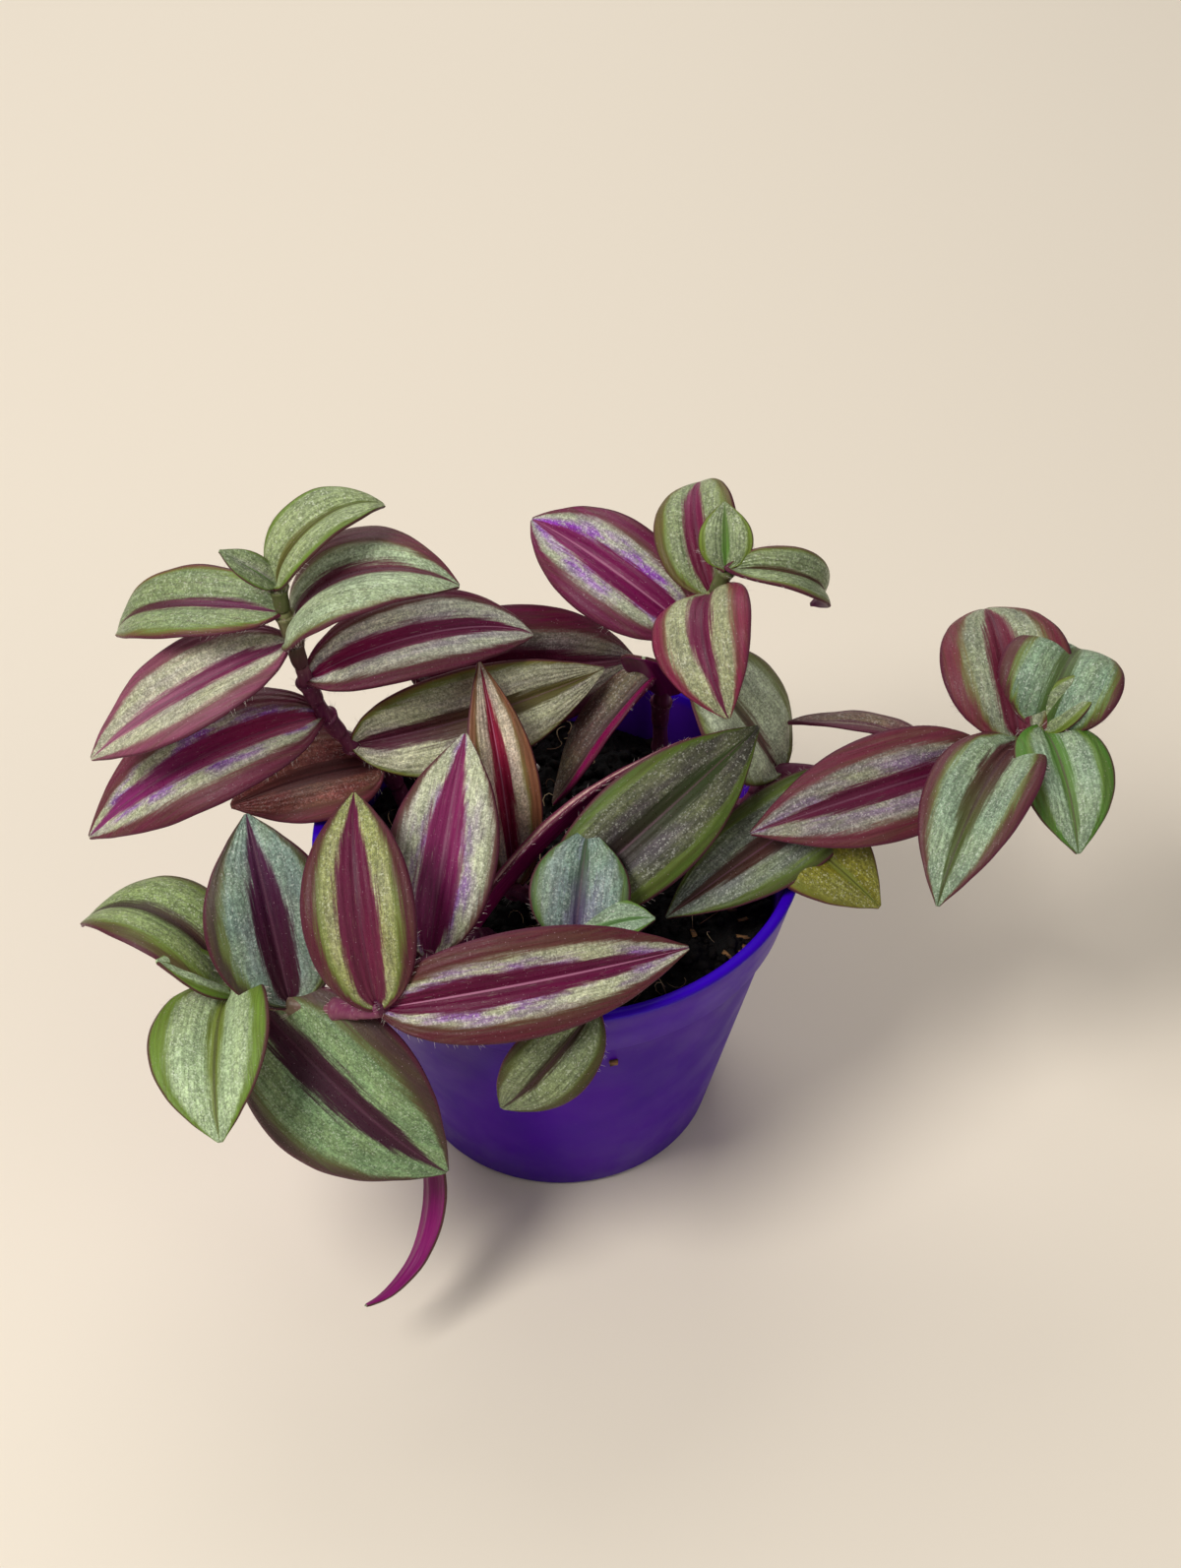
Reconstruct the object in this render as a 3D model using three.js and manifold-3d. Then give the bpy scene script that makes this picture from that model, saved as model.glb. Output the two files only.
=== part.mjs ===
// A young striped inch plant in a small purple nursery pot. Six leafy shoots rise out of the potting
// soil. Some stand up, some lean out over the rim, and one hangs down the front of the pot.
// Millimetres, +Z up. The origin is the centre of the pot's flat underside.

import * as THREE from "three";
import { mergeVertices } from "three/addons/utils/BufferGeometryUtils.js";
import Module from "manifold-3d";

const wasm = await Module();
wasm.setup();

// ---- driving dimensions ----

const POT_HEIGHT = 68;
const RIM_RADIUS = 45; // outer, at the top of the rim band
const FOOT_RADIUS = 30.5;
const POT_TAPER = (RIM_RADIUS - FOOT_RADIUS) / POT_HEIGHT; // mm of radius for each mm of height
const RIM_BAND = 12.5; // height of the thicker band under the rim
const BAND_STEP = 1.2; // how far the band stands out from the wall below it
const POT_WALL = 0.9; // below the band
const POT_FLOOR = 2;
const POT_SIDES = 44;
const EDGE = 0.8; // small chamfers at the foot and the rim

const DRAIN_HOLES = 6;
const DRAIN_RADIUS = 3.5;
const DRAIN_SIDES = 12;
const DRAIN_CIRCLE = 19; // the holes stand round the centre, which stays solid

const GAP = 0.3; // between solids that rest against each other
const SOIL_TOP = 58;
const SOIL_RINGS = 7;
const SOIL_SIDES = 30;
const SOIL_DIP = 4; // the lowest that the soil lies at the wall, below its top
const SOIL_SWELL = 0.9; // heights of the soil's broad swells and of its small lumps
const SOIL_LUMP = 0.7;
const SOIL_FALL = 1.2; // how much lower the soil is at the wall

const STEM_RADIUS = 1.6;
const STEM_TIP_RADIUS = 1.1;
const STEM_SIDES = 7;
const STEM_STEPS = 2; // rings from one node to the next
const NODE_SWELL = 0.35; // the stem is thicker where a leaf grows
const STEM_DEPTH = 13; // how far a stem goes down into the soil
const STEM_UPRIGHT = 1.5; // how far above the soil's top a stem stays upright
const STEM_HOLE = 0.8; // room round a stem in its hole
const HOLE_TOP = 67; // above every lump of the soil
const HOLE_SIDES = 10;

const BLADE = 0.8; // thickness of a leaf
const BLADE_ROWS = [0, 0.06, 0.17, 0.31, 0.46, 0.62, 0.78, 0.91, 1];
const BLADE_COLUMNS = 4;
const BLADE_ROOT = 1.4; // half width where the leaf clasps the stem
const BLADE_TIP = 0.35;
const RIB_ROUND = 0.1; // how softly the two halves of a leaf meet, as a share of its half width
const CUP_FADE = 0.55; // share of a leaf's cup that is gone at its tip
const BEND_STEPS = 100;
const OUTLINE_BASE = 0.6; // powers of the egg-shaped outline, at the base and at the tip
const OUTLINE_TIP = 0.75;
const TIP_DRAW = 0.45; // how much narrower the drawn-out tip is, and the power that keeps that to the tip
const TIP_POWER = 6;

// Each shoot stands at its foot in the soil and runs along its path, which has a point at each node.
// A leaf grows at one of these points. Its heading is an angle in plan, its rise the slope at which
// it leaves the stem, droop and curl how far it bends down by its tip, roll turns it about its own
// midrib and cup lifts its two halves. Angles are in degrees.
const SHOOTS = [
  {
    name: "shoot_left",
    foot: [-29.5, 16],
    path: [[-33, 16, 69], [-38, 13.5, 77], [-42, 11.5, 86], [-44.5, 10, 96], [-46, 9, 106], [-47, 8.5, 113],
      [-47.5, 8.5, 119]],
    leaves: [
      { at: 0, heading: -152, rise: 20, droop: 45, long: 30, wide: 20, roll: -20, cup: 10 },
      { at: 1, heading: -13, rise: 23, droop: 50, long: 50, wide: 20, roll: 70, cup: 15 },
      { at: 2, heading: -157, rise: 5, droop: 61, long: 52, wide: 22, roll: -16, cup: 11 },
      { at: 3, heading: -3, rise: 39, droop: 88, curl: 12, long: 48, wide: 17, roll: 32, cup: 13 },
      { at: 4, heading: -160, rise: -10, droop: 35, long: 43, wide: 19, roll: -15, cup: 15 },
      { at: 4, heading: -12, rise: 84, droop: 123, long: 39, wide: 24, roll: 13, cup: 8 },
      { at: 5, heading: 175, rise: 10, droop: 50, curl: 40, long: 39, wide: 15, roll: -20, cup: 15 },
      { at: 6, heading: 1, rise: 82, droop: 109, curl: 17, long: 28, wide: 13, roll: 30, cup: 20 },
      { at: 6, heading: 180, rise: 45, droop: 20, long: 12, wide: 6, roll: -35, cup: 30 },
    ],
  },
  {
    name: "shoot_tall",
    foot: [19, 24],
    path: [[19, 24, 66], [19, 24, 78], [20.5, 23, 88], [24, 21, 98], [27.5, 19, 108], [29.5, 19, 114]],
    leaves: [
      { at: 1, heading: -106, rise: 66, droop: 15, long: 27, wide: 14, roll: 0, cup: 20 },
      { at: 2, heading: -148, rise: -35, droop: 10, long: 34, wide: 16, roll: 20, cup: 40 },
      { at: 3, heading: 155, rise: 31, droop: 38, curl: 27, long: 40, wide: 20, roll: -35, cup: 8 },
      { at: 4, heading: 125, rise: 56, droop: 82, curl: 24, long: 28, wide: 16, roll: -44, cup: 10 },
      { at: 4, heading: -116, rise: 38, droop: 120, long: 31, wide: 19, roll: 35, cup: 6 },
      { at: 5, heading: -11, rise: 16, droop: 110, curl: 37, long: 29, wide: 10, roll: 29, cup: 40 },
      { at: 5, heading: 95, rise: 65, droop: 20, long: 12, wide: 10, roll: -5, cup: 15 },
    ],
  },
  {
    name: "shoot_right",
    foot: [32, 3],
    path: [[34.5, 3.5, 71], [40, 7, 76], [56, 5.5, 76], [70, 6, 79], [78, 6, 81], [83, 6.5, 84], [87, 8, 86]],
    leaves: [
      { at: 0, heading: -55, rise: 22, droop: 75, long: 33, wide: 19, roll: 25, cup: 12 },
      { at: 1, heading: 160, rise: 59, droop: 15, long: 31, wide: 25, roll: -8, cup: 8 },
      { at: 2, heading: -140, rise: 0, droop: 30, long: 46, wide: 18, roll: -25, cup: 12 },
      { at: 3, heading: 160, rise: 25, droop: 35, long: 30, wide: 13, roll: 30, cup: 25 },
      { at: 4, heading: -150, rise: 10, droop: 30, long: 48, wide: 20, roll: -35, cup: 8 },
      { at: 5, heading: 106, rise: 54, droop: 71, curl: 25, long: 33, wide: 24, roll: -12, cup: 7 },
      { at: 5, heading: -121, rise: 24, droop: 65, curl: 10, long: 41, wide: 20, roll: 6, cup: 17 },
      { at: 6, heading: 52, rise: 80, droop: 118, curl: 25, long: 23, wide: 23, roll: 10, cup: 8 },
      { at: 6, heading: -80, rise: 19, droop: 74, long: 27, wide: 18, roll: 0, cup: 14 },
      { at: 6, heading: 0, rise: 66, droop: 45, long: 15, wide: 9, roll: 30, cup: 14 },
    ],
  },
  {
    name: "shoot_centre",
    foot: [-6, -8],
    path: [[-8, -9, 62], [-1, -21, 69], [3, -30, 70.5], [6.5, -43, 70]],
    leaves: [
      { at: 0, heading: 101, rise: 72, droop: 32, long: 43, wide: 14, roll: 8, cup: 28 },
      { at: 1, heading: 20, rise: 40, droop: 35, long: 50, wide: 21, roll: 45, cup: 12 },
      { at: 2, heading: 80, rise: 55, droop: 40, long: 21, wide: 18, roll: 5, cup: 10 },
      { at: 2, heading: -1, rise: 52, droop: 53, curl: 8, long: 16, wide: 11, roll: 7, cup: 14 },
      { at: 3, heading: -130, rise: -30, droop: 60, long: 28, wide: 15, roll: -40, cup: 12 },
    ],
  },
  {
    name: "shoot_front",
    foot: [-11, -20],
    path: [[-15, -25, 67], [-22, -34.5, 71.5], [-30, -45, 71.5], [-38, -40.5, 66], [-46, -38, 64],
      [-53, -35, 62.5], [-57, -33.5, 62.5]],
    leaves: [
      { at: 0, heading: 49, rise: 32, droop: 28, long: 53, wide: 14, roll: -57, cup: 32 },
      { at: 1, heading: 80, rise: 45, droop: 25, long: 41, wide: 20, roll: 0, cup: 12 },
      { at: 2, heading: -9, rise: 22, droop: 55, long: 56, wide: 19, roll: 50, cup: 15 },
      { at: 2, heading: 134, rise: 76, droop: 80, long: 40, wide: 20, roll: -44, cup: 12 },
      { at: 3, heading: -12, rise: -60, droop: 15, curl: 110, long: 69, wide: 9, roll: -55, cup: 25 },
      { at: 4, heading: 115, rise: 71, droop: 35, long: 35, wide: 24, roll: -10, cup: 15 },
      { at: 5, heading: -43, rise: -22, droop: 16, curl: 30, long: 47, wide: 31, roll: 47, cup: 6 },
      { at: 6, heading: -97, rise: 23, droop: 62, long: 32, wide: 24, roll: 17, cup: 29 },
      { at: 6, heading: 130, rise: 62, droop: 111, curl: 17, long: 37, wide: 22, roll: 30, cup: 10 },
      { at: 6, heading: -150, rise: 60, droop: 25, long: 18, wide: 10, roll: -20, cup: 14 },
    ],
  },
  {
    name: "shoot_back",
    foot: [-12, 27],
    path: [[-15, 28, 66], [-21, 28, 76], [-28, 26, 86], [-32, 27, 93]],
    leaves: [
      { at: 1, heading: 85, rise: 5, droop: 50, long: 34, wide: 18, roll: 0, cup: 15 },
      { at: 2, heading: -16, rise: 8, droop: 71, long: 47, wide: 24, roll: 58, cup: 12 },
      { at: 3, heading: 120, rise: 20, droop: 50, long: 34, wide: 17, roll: 0, cup: 15 },
    ],
  },
];

// ---- materials ----

const POT_PLASTIC = new THREE.MeshStandardMaterial({ color: 0x4a1f9c, roughness: 0.35, metalness: 0 });
const SOIL = new THREE.MeshStandardMaterial({ color: 0x17120f, roughness: 0.95, metalness: 0 });
const LEAF = new THREE.MeshStandardMaterial({ color: 0x6f7f62, roughness: 0.5, metalness: 0 });

// ---- from geometry to solid and back ----

function solidOf(geometry) {
  geometry.deleteAttribute("normal");
  geometry.deleteAttribute("uv");
  const merged = mergeVertices(geometry, 1e-4);
  const mesh = new wasm.Mesh({
    numProp: 3,
    vertProperties: new Float32Array(merged.attributes.position.array),
    triVerts: new Uint32Array(merged.index.array),
  });
  return new wasm.Manifold(mesh);
}

function meshOf(solid, name, material) {
  const { vertProperties, triVerts } = solid.getMesh();
  const geometry = new THREE.BufferGeometry();
  geometry.setAttribute("position", new THREE.BufferAttribute(vertProperties, 3));
  geometry.setIndex(new THREE.BufferAttribute(triVerts, 1));
  geometry.computeVertexNormals();
  const mesh = new THREE.Mesh(geometry, material);
  mesh.name = name;
  return mesh;
}

function geometryOf(points, triangles) {
  const geometry = new THREE.BufferGeometry();
  geometry.setAttribute("position", new THREE.Float32BufferAttribute(points.flatMap((p) => p.toArray()), 3));
  geometry.setIndex(triangles);
  return geometry;
}

// A closed skin over rings of equally many points, with a fan over each end.
function ringsToGeometry(rings) {
  const count = rings[0].length;
  const points = rings.flat();
  const triangles = [];
  for (let row = 0; row + 1 < rings.length; row++) {
    for (let i = 0; i < count; i++) {
      const a = row * count + i;
      const b = row * count + ((i + 1) % count);
      triangles.push(a, b, b + count, a, b + count, a + count);
    }
  }
  const last = (rings.length - 1) * count;
  for (let i = 1; i + 1 < count; i++) {
    triangles.push(0, i + 1, i, last, last + i, last + i + 1);
  }
  return geometryOf(points, triangles);
}

function verticalCylinder([x, y], radius, low, high, sides) {
  const cylinder = new THREE.CylinderGeometry(radius, radius, high - low, sides);
  cylinder.rotateX(Math.PI / 2);
  cylinder.translate(x, y, (low + high) / 2);
  return solidOf(cylinder);
}

// ---- pot ----

// Outer radius of the pot as if it were one plain cone, at height z.
function coneRadius(z) {
  return FOOT_RADIUS + POT_TAPER * z;
}

function bodyRadius(z) {
  return coneRadius(z) - BAND_STEP;
}

function innerRadius(z) {
  return bodyRadius(z) - POT_WALL;
}

function makePot() {
  const bandLow = POT_HEIGHT - RIM_BAND;
  const profile = [
    [0, 0],
    [bodyRadius(0) - EDGE, 0],
    [bodyRadius(EDGE), EDGE],
    [bodyRadius(bandLow - EDGE), bandLow - EDGE],
    [coneRadius(bandLow), bandLow],
    [coneRadius(POT_HEIGHT - EDGE), POT_HEIGHT - EDGE],
    [RIM_RADIUS - EDGE / 2, POT_HEIGHT],
    [innerRadius(POT_HEIGHT), POT_HEIGHT],
    [innerRadius(POT_FLOOR), POT_FLOOR],
    [0, POT_FLOOR],
  ];
  const lathe = new THREE.LatheGeometry(profile.map(([r, z]) => new THREE.Vector2(r, z)), POT_SIDES);
  lathe.rotateX(Math.PI / 2);
  let pot = solidOf(lathe);
  for (let i = 0; i < DRAIN_HOLES; i++) {
    const angle = (i / DRAIN_HOLES) * 2 * Math.PI;
    const centre = [DRAIN_CIRCLE * Math.cos(angle), DRAIN_CIRCLE * Math.sin(angle)];
    pot = pot.subtract(verticalCylinder(centre, DRAIN_RADIUS, -1, POT_FLOOR + 1, DRAIN_SIDES));
  }
  return meshOf(pot, "pot", POT_PLASTIC);
}

// ---- soil ----

// The top of the soil is loose and lumpy, and a little lower at the wall.
function soilHeight(x, y) {
  const edge = Math.hypot(x, y) / innerRadius(SOIL_TOP);
  const broad = SOIL_SWELL * Math.sin(0.21 * x + 1) * Math.cos(0.17 * y);
  const lumps = SOIL_LUMP * Math.sin(0.63 * x - 0.4 * y) * Math.cos(0.52 * y + 0.3 * x);
  return SOIL_TOP + broad + lumps - SOIL_FALL * edge ** 4;
}

function soilRing(radius, height) {
  return Array.from({ length: SOIL_SIDES }, (_, i) => {
    const angle = (i / SOIL_SIDES) * 2 * Math.PI;
    const x = radius * Math.cos(angle);
    const y = radius * Math.sin(angle);
    return new THREE.Vector3(x, y, height === undefined ? soilHeight(x, y) : height);
  });
}

function makeSoil() {
  const bottom = POT_FLOOR + GAP;
  const clear = GAP + innerRadius(SOIL_TOP) * (1 - Math.cos(Math.PI / POT_SIDES));
  const rings = [soilRing(innerRadius(bottom) - clear, bottom)];
  for (let k = SOIL_RINGS; k >= 1; k--) {
    rings.push(soilRing(((innerRadius(SOIL_TOP - SOIL_DIP) - clear) * k) / SOIL_RINGS));
  }
  let soil = solidOf(ringsToGeometry(rings));
  for (const { foot } of SHOOTS) {
    const low = SOIL_TOP - STEM_DEPTH - GAP;
    soil = soil.subtract(verticalCylinder(foot, STEM_RADIUS + STEM_HOLE, low, HOLE_TOP, HOLE_SIDES));
  }
  return meshOf(soil, "soil", SOIL);
}

// ---- shoots ----

function stemCurve({ foot, path }) {
  const buried = [-STEM_DEPTH, -STEM_DEPTH / 2, STEM_UPRIGHT].map((z) => [...foot, SOIL_TOP + z]);
  const points = [...buried, ...path].map((p) => new THREE.Vector3(...p));
  return new THREE.CatmullRomCurve3(points, false, "centripetal");
}

function makeStem(shoot) {
  const curve = stemCurve(shoot);
  const steps = (curve.points.length - 1) * STEM_STEPS;
  const rings = [];
  let side = new THREE.Vector3(1, 0, 0);
  for (let i = 0; i <= steps; i++) {
    const along = i / steps;
    const centre = curve.getPoint(along);
    const tangent = curve.getTangent(along);
    side = side.clone().addScaledVector(tangent, -side.dot(tangent)).normalize();
    const across = tangent.clone().cross(side);
    const node = i % STEM_STEPS === 0 && i >= 3 * STEM_STEPS;
    const radius = THREE.MathUtils.lerp(STEM_RADIUS, STEM_TIP_RADIUS, along) + (node ? NODE_SWELL : 0);
    rings.push(Array.from({ length: STEM_SIDES }, (_, k) => {
      const angle = (k / STEM_SIDES) * 2 * Math.PI;
      const out = side.clone().multiplyScalar(Math.cos(angle)).addScaledVector(across, Math.sin(angle));
      return centre.clone().addScaledVector(out, radius);
    }));
  }
  return solidOf(ringsToGeometry(rings));
}

// Half width of a leaf, as a share of its widest half width, at a share u of its length.
function outline(u) {
  const widest = OUTLINE_BASE / (OUTLINE_BASE + OUTLINE_TIP);
  const egg = (u / widest) ** OUTLINE_BASE * ((1 - u) / (1 - widest)) ** OUTLINE_TIP;
  return egg * (1 - TIP_DRAW * u ** TIP_POWER);
}

// The leaf's own directions at its base: along it, across it, and out of its upper face.
function leafAxes({ heading, rise, roll }) {
  const h = THREE.MathUtils.degToRad(heading);
  const p = THREE.MathUtils.degToRad(rise);
  const along = new THREE.Vector3(Math.cos(h) * Math.cos(p), Math.sin(h) * Math.cos(p), Math.sin(p));
  const level = new THREE.Vector3(-Math.sin(h), Math.cos(h), 0);
  const up = along.clone().cross(level).applyAxisAngle(along, THREE.MathUtils.degToRad(roll));
  return { along, across: up.clone().cross(along), up };
}

// The midrib at each row: its point and the leaf's directions there. It bends towards the underside.
function midrib(base, leaf) {
  const { along, across, up } = leafAxes(leaf);
  const droop = THREE.MathUtils.degToRad(leaf.droop);
  const curl = THREE.MathUtils.degToRad(leaf.curl ?? 0);
  const point = new THREE.Vector3(...base);
  const rib = [];
  for (let i = 0; i <= BEND_STEPS; i++) {
    const u = i / BEND_STEPS;
    const bend = droop * u + curl * u ** 3;
    const forward = along.clone().multiplyScalar(Math.cos(bend)).addScaledVector(up, -Math.sin(bend));
    const normal = up.clone().multiplyScalar(Math.cos(bend)).addScaledVector(along, Math.sin(bend));
    rib.push({ point: point.clone(), across, normal });
    point.addScaledVector(forward, leaf.long / BEND_STEPS);
  }
  return BLADE_ROWS.map((u) => rib[Math.round(u * BEND_STEPS)]);
}

// One row round a blade: across its upper face and back across its lower face.
function bladeRing({ point, across, normal }, half, cup) {
  const face = [];
  for (let j = 0; j <= BLADE_COLUMNS; j++) {
    const v = (2 * j) / BLADE_COLUMNS - 1;
    const lift = Math.hypot(v, RIB_ROUND) - RIB_ROUND;
    face.push(point.clone()
      .addScaledVector(across, half * v * Math.cos(cup))
      .addScaledVector(normal, half * lift * Math.sin(cup)));
  }
  const upper = face.map((p) => p.clone().addScaledVector(normal, BLADE / 2));
  const lower = face.map((p) => p.clone().addScaledVector(normal, -BLADE / 2)).reverse();
  return [...upper, ...lower];
}

// The skin of a blade. Its two faces are split along the same diagonals, so they never cross.
function bladeGeometry(rings) {
  const count = rings[0].length;
  const half = count / 2;
  const triangles = [];
  for (let row = 0; row + 1 < rings.length; row++) {
    for (let i = 0; i < count; i++) {
      const a = row * count + i;
      const b = row * count + ((i + 1) % count);
      if (i < half) {
        triangles.push(a, a + count, b, b, a + count, b + count);
      } else {
        triangles.push(a, b + count, b, a, a + count, b + count);
      }
    }
  }
  for (const [row, flip] of [[0, false], [rings.length - 1, true]]) {
    for (let j = 0; j + 1 < half; j++) {
      const a = row * count + j;
      const low = row * count + count - 1 - j;
      const quad = [a, a + 1, low, a + 1, low - 1, low];
      triangles.push(...(flip ? quad.reverse() : quad));
    }
  }
  return geometryOf(rings.flat(), triangles);
}

function makeLeaf(base, leaf) {
  const cup = THREE.MathUtils.degToRad(leaf.cup);
  const rings = midrib(base, leaf).map((rib, i) => {
    const u = BLADE_ROWS[i];
    const least = THREE.MathUtils.lerp(BLADE_ROOT, BLADE_TIP, u);
    return bladeRing(rib, Math.max((leaf.wide / 2) * outline(u), least), cup * (1 - CUP_FADE * u));
  });
  return solidOf(bladeGeometry(rings));
}

function makeShoot(shoot) {
  let solid = makeStem(shoot);
  for (const leaf of shoot.leaves) {
    solid = solid.add(makeLeaf(shoot.path[leaf.at], leaf));
  }
  return meshOf(solid, shoot.name, LEAF);
}

// ---- the whole plant ----

const plant = new THREE.Group();
plant.add(makePot(), makeSoil(), ...SHOOTS.map(makeShoot));

export default plant;
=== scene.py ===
# A young striped inch plant in a small purple nursery pot, seen from above its front.
# Lengths are millimetres until a mesh is finished, and metres from there on.

import math
import random

import bmesh
import bpy
from mathutils import Matrix, Vector, noise


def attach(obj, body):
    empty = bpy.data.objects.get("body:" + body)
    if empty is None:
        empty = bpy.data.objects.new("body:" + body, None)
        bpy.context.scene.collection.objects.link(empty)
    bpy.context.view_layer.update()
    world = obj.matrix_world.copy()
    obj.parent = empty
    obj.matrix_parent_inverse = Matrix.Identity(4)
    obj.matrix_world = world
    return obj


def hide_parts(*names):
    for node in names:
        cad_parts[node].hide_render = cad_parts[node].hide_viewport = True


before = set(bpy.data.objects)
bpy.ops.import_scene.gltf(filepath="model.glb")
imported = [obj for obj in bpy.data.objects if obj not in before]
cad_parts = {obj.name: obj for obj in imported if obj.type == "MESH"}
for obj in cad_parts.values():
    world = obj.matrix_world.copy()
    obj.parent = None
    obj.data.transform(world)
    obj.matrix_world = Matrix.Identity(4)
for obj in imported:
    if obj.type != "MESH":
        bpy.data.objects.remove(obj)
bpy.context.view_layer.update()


# ---- pot ----
# A thin nursery pot of violet plastic, moulded in one piece. A thicker band runs round under the
# rim, the floor has six drain holes, and the rim ends in a narrow rounded lip.

POT_HEIGHT = 68
RIM_RADIUS = 45
FOOT_RADIUS = 30.5
POT_TAPER = (RIM_RADIUS - FOOT_RADIUS) / POT_HEIGHT
RIM_BAND = 12.5  # height of the band, which stands out by BAND_STEP
BAND_STEP = 1.2
LIP = 1.1  # height of the lip, which stands out by LIP_OUT
LIP_OUT = 0.15
POT_WALL = 0.9
POT_FLOOR = 2
FLOOR_RAISE = 0.6  # how far the floor is hollowed underneath
POT_STEPS = 160
DRAIN_HOLES = 6
DRAIN_RADIUS = 3.5
DRAIN_CIRCLE = 19
VIOLETS = ("3e0190", "4a039c")
RUBBED_VIOLET = "7434b8"
BAND_VIOLET = "5a2cb8"
LIP_VIOLET = "3201b0"
POT_DUST = "9a78c0"


def add(tree, kind, inputs=None, **settings):
    """A shader node, with sockets set to numbers or linked to other sockets."""
    made = tree.nodes.new("ShaderNode" + kind)
    for name, value in settings.items():
        setattr(made, name, value)
    for socket, value in (inputs or {}).items():
        if isinstance(value, bpy.types.NodeSocket):
            tree.links.new(value, made.inputs[socket])
        else:
            made.inputs[socket].default_value = value
    return made


def on_piece(tree):
    """Places in the piece's own coordinates, in metres."""
    return add(tree, "TexCoord").outputs["Object"]


def stretched(tree, place, sizes):
    return add(tree, "Mapping", {"Vector": place, "Scale": sizes}).outputs[0]


def grain(tree, place, scale, detail, roughness=0.5):
    inputs = {"Vector": place, "Scale": scale, "Detail": detail, "Roughness": roughness}
    return add(tree, "TexNoise", inputs).outputs["Fac"]


def ramp(tree, value, low, high, start=0.0, end=1.0):
    """A soft step: start below low, end above high."""
    inputs = {"Value": value, "From Min": low, "From Max": high, "To Min": start, "To Max": end}
    return add(tree, "MapRange", inputs, interpolation_type="SMOOTHSTEP").outputs[0]


def paint(code):
    """A colour written as a web code, in the linear light that Blender works in."""
    parts = [int(code[i:i + 2], 16) / 255 for i in (0, 2, 4)]
    return tuple(p / 12.92 if p < 0.04045 else ((p + 0.055) / 1.055) ** 2.4 for p in parts) + (1,)


def mix(tree, share, first, second, blend="MIX"):
    inputs = {0: share, 6: first, 7: second}
    return add(tree, "Mix", inputs, data_type="RGBA", blend_type=blend).outputs[2]


def tones(tree, value, low, high, pair):
    """The first colour of the pair below low, and the second above high."""
    return mix(tree, ramp(tree, value, low, high), paint(pair[0]), paint(pair[1]))


def bumped(tree, height, distance, strength=1.0, under=None):
    inputs = {"Height": height, "Distance": distance, "Strength": strength}
    if under is not None:
        inputs["Normal"] = under
    return add(tree, "Bump", inputs).outputs[0]


def new_finish(name, **sockets):
    """A material whose sockets are plain numbers, and its node tree and shader."""
    finish = bpy.data.materials.new(name)
    finish.use_nodes = True
    shader = finish.node_tree.nodes["Principled BSDF"]
    for socket, value in sockets.items():
        shader.inputs[socket.replace("_", " ")].default_value = value
    return finish, finish.node_tree, shader


def drive(tree, shader, **sockets):
    """Links the shader's sockets to what varies over the surface."""
    for socket, value in sockets.items():
        tree.links.new(value, shader.inputs[socket.replace("_", " ")])


def mesh_object(name, bm):
    """An object in metres, from a mesh that was shaped in millimetres."""
    bmesh.ops.scale(bm, vec=(0.001, 0.001, 0.001), verts=bm.verts)
    mesh = bpy.data.meshes.new(name)
    bm.to_mesh(mesh)
    bm.free()
    made = bpy.data.objects.new(name, mesh)
    bpy.context.scene.collection.objects.link(made)
    return made


def finish_piece(name, bm, finishes, node=None):
    """Makes a smooth piece, gives it its materials and hangs it on the one body."""
    piece = mesh_object(name, bm)
    for polygon in piece.data.polygons:
        polygon.use_smooth = True
    for finish in finishes:
        piece.data.materials.append(finish)
    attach(piece, "root")
    if node:
        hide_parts(node)
    return piece


def cone_radius(z):
    return FOOT_RADIUS + POT_TAPER * z


def body_radius(z):
    return cone_radius(z) - BAND_STEP


def inner_radius(z):
    return body_radius(z) - POT_WALL


def pot_profile():
    """Half of the pot's section, from the axis underneath round the rim to the axis inside. Its
    edges are rounded, and points along the straight walls keep their shading even."""
    band_low = POT_HEIGHT - RIM_BAND
    lip_low = POT_HEIGHT - LIP
    foot, inside = body_radius(0), inner_radius(POT_HEIGHT)
    return [
        (0, FLOOR_RAISE), (FOOT_RADIUS - 6, FLOOR_RAISE), (FOOT_RADIUS - 4.5, 0), (foot - 1, 0),
        (foot - 0.3, 0.25), (body_radius(1), 1), (body_radius(20), 20), (body_radius(40), 40),
        (body_radius(band_low - 1.4), band_low - 1.4),
        (body_radius(band_low - 0.9) + 0.15, band_low - 0.9),
        (cone_radius(band_low) - 0.2, band_low), (cone_radius(band_low + 0.3), band_low + 0.3),
        (cone_radius(62), 62), (cone_radius(lip_low) - 0.1, lip_low),
        (cone_radius(lip_low) + LIP_OUT, lip_low + 0.25),
        (RIM_RADIUS - 0.1, POT_HEIGHT - 0.4), (RIM_RADIUS - 0.3, POT_HEIGHT - 0.1),
        (RIM_RADIUS - 0.7, POT_HEIGHT), (inside + 0.4, POT_HEIGHT), (inside + 0.05, POT_HEIGHT - 0.3),
        (inner_radius(66), 66), (inner_radius(50), 50), (inner_radius(25), 25),
        (inner_radius(POT_FLOOR + 1), POT_FLOOR + 1), (inner_radius(POT_FLOOR) - 1, POT_FLOOR),
        (0, POT_FLOOR),
    ]


def pot_mesh():
    bm = bmesh.new()
    points = [bm.verts.new((radius, 0, z)) for radius, z in pot_profile()]
    edges = [bm.edges.new(pair) for pair in zip(points, points[1:])]
    bmesh.ops.spin(bm, geom=points + edges, cent=(0, 0, 0), axis=(0, 0, 1), angle=2 * math.pi,
                   steps=POT_STEPS, use_merge=True)
    bmesh.ops.remove_doubles(bm, verts=bm.verts, dist=0.001)
    bmesh.ops.recalc_face_normals(bm, faces=bm.faces)
    return bm


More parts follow.
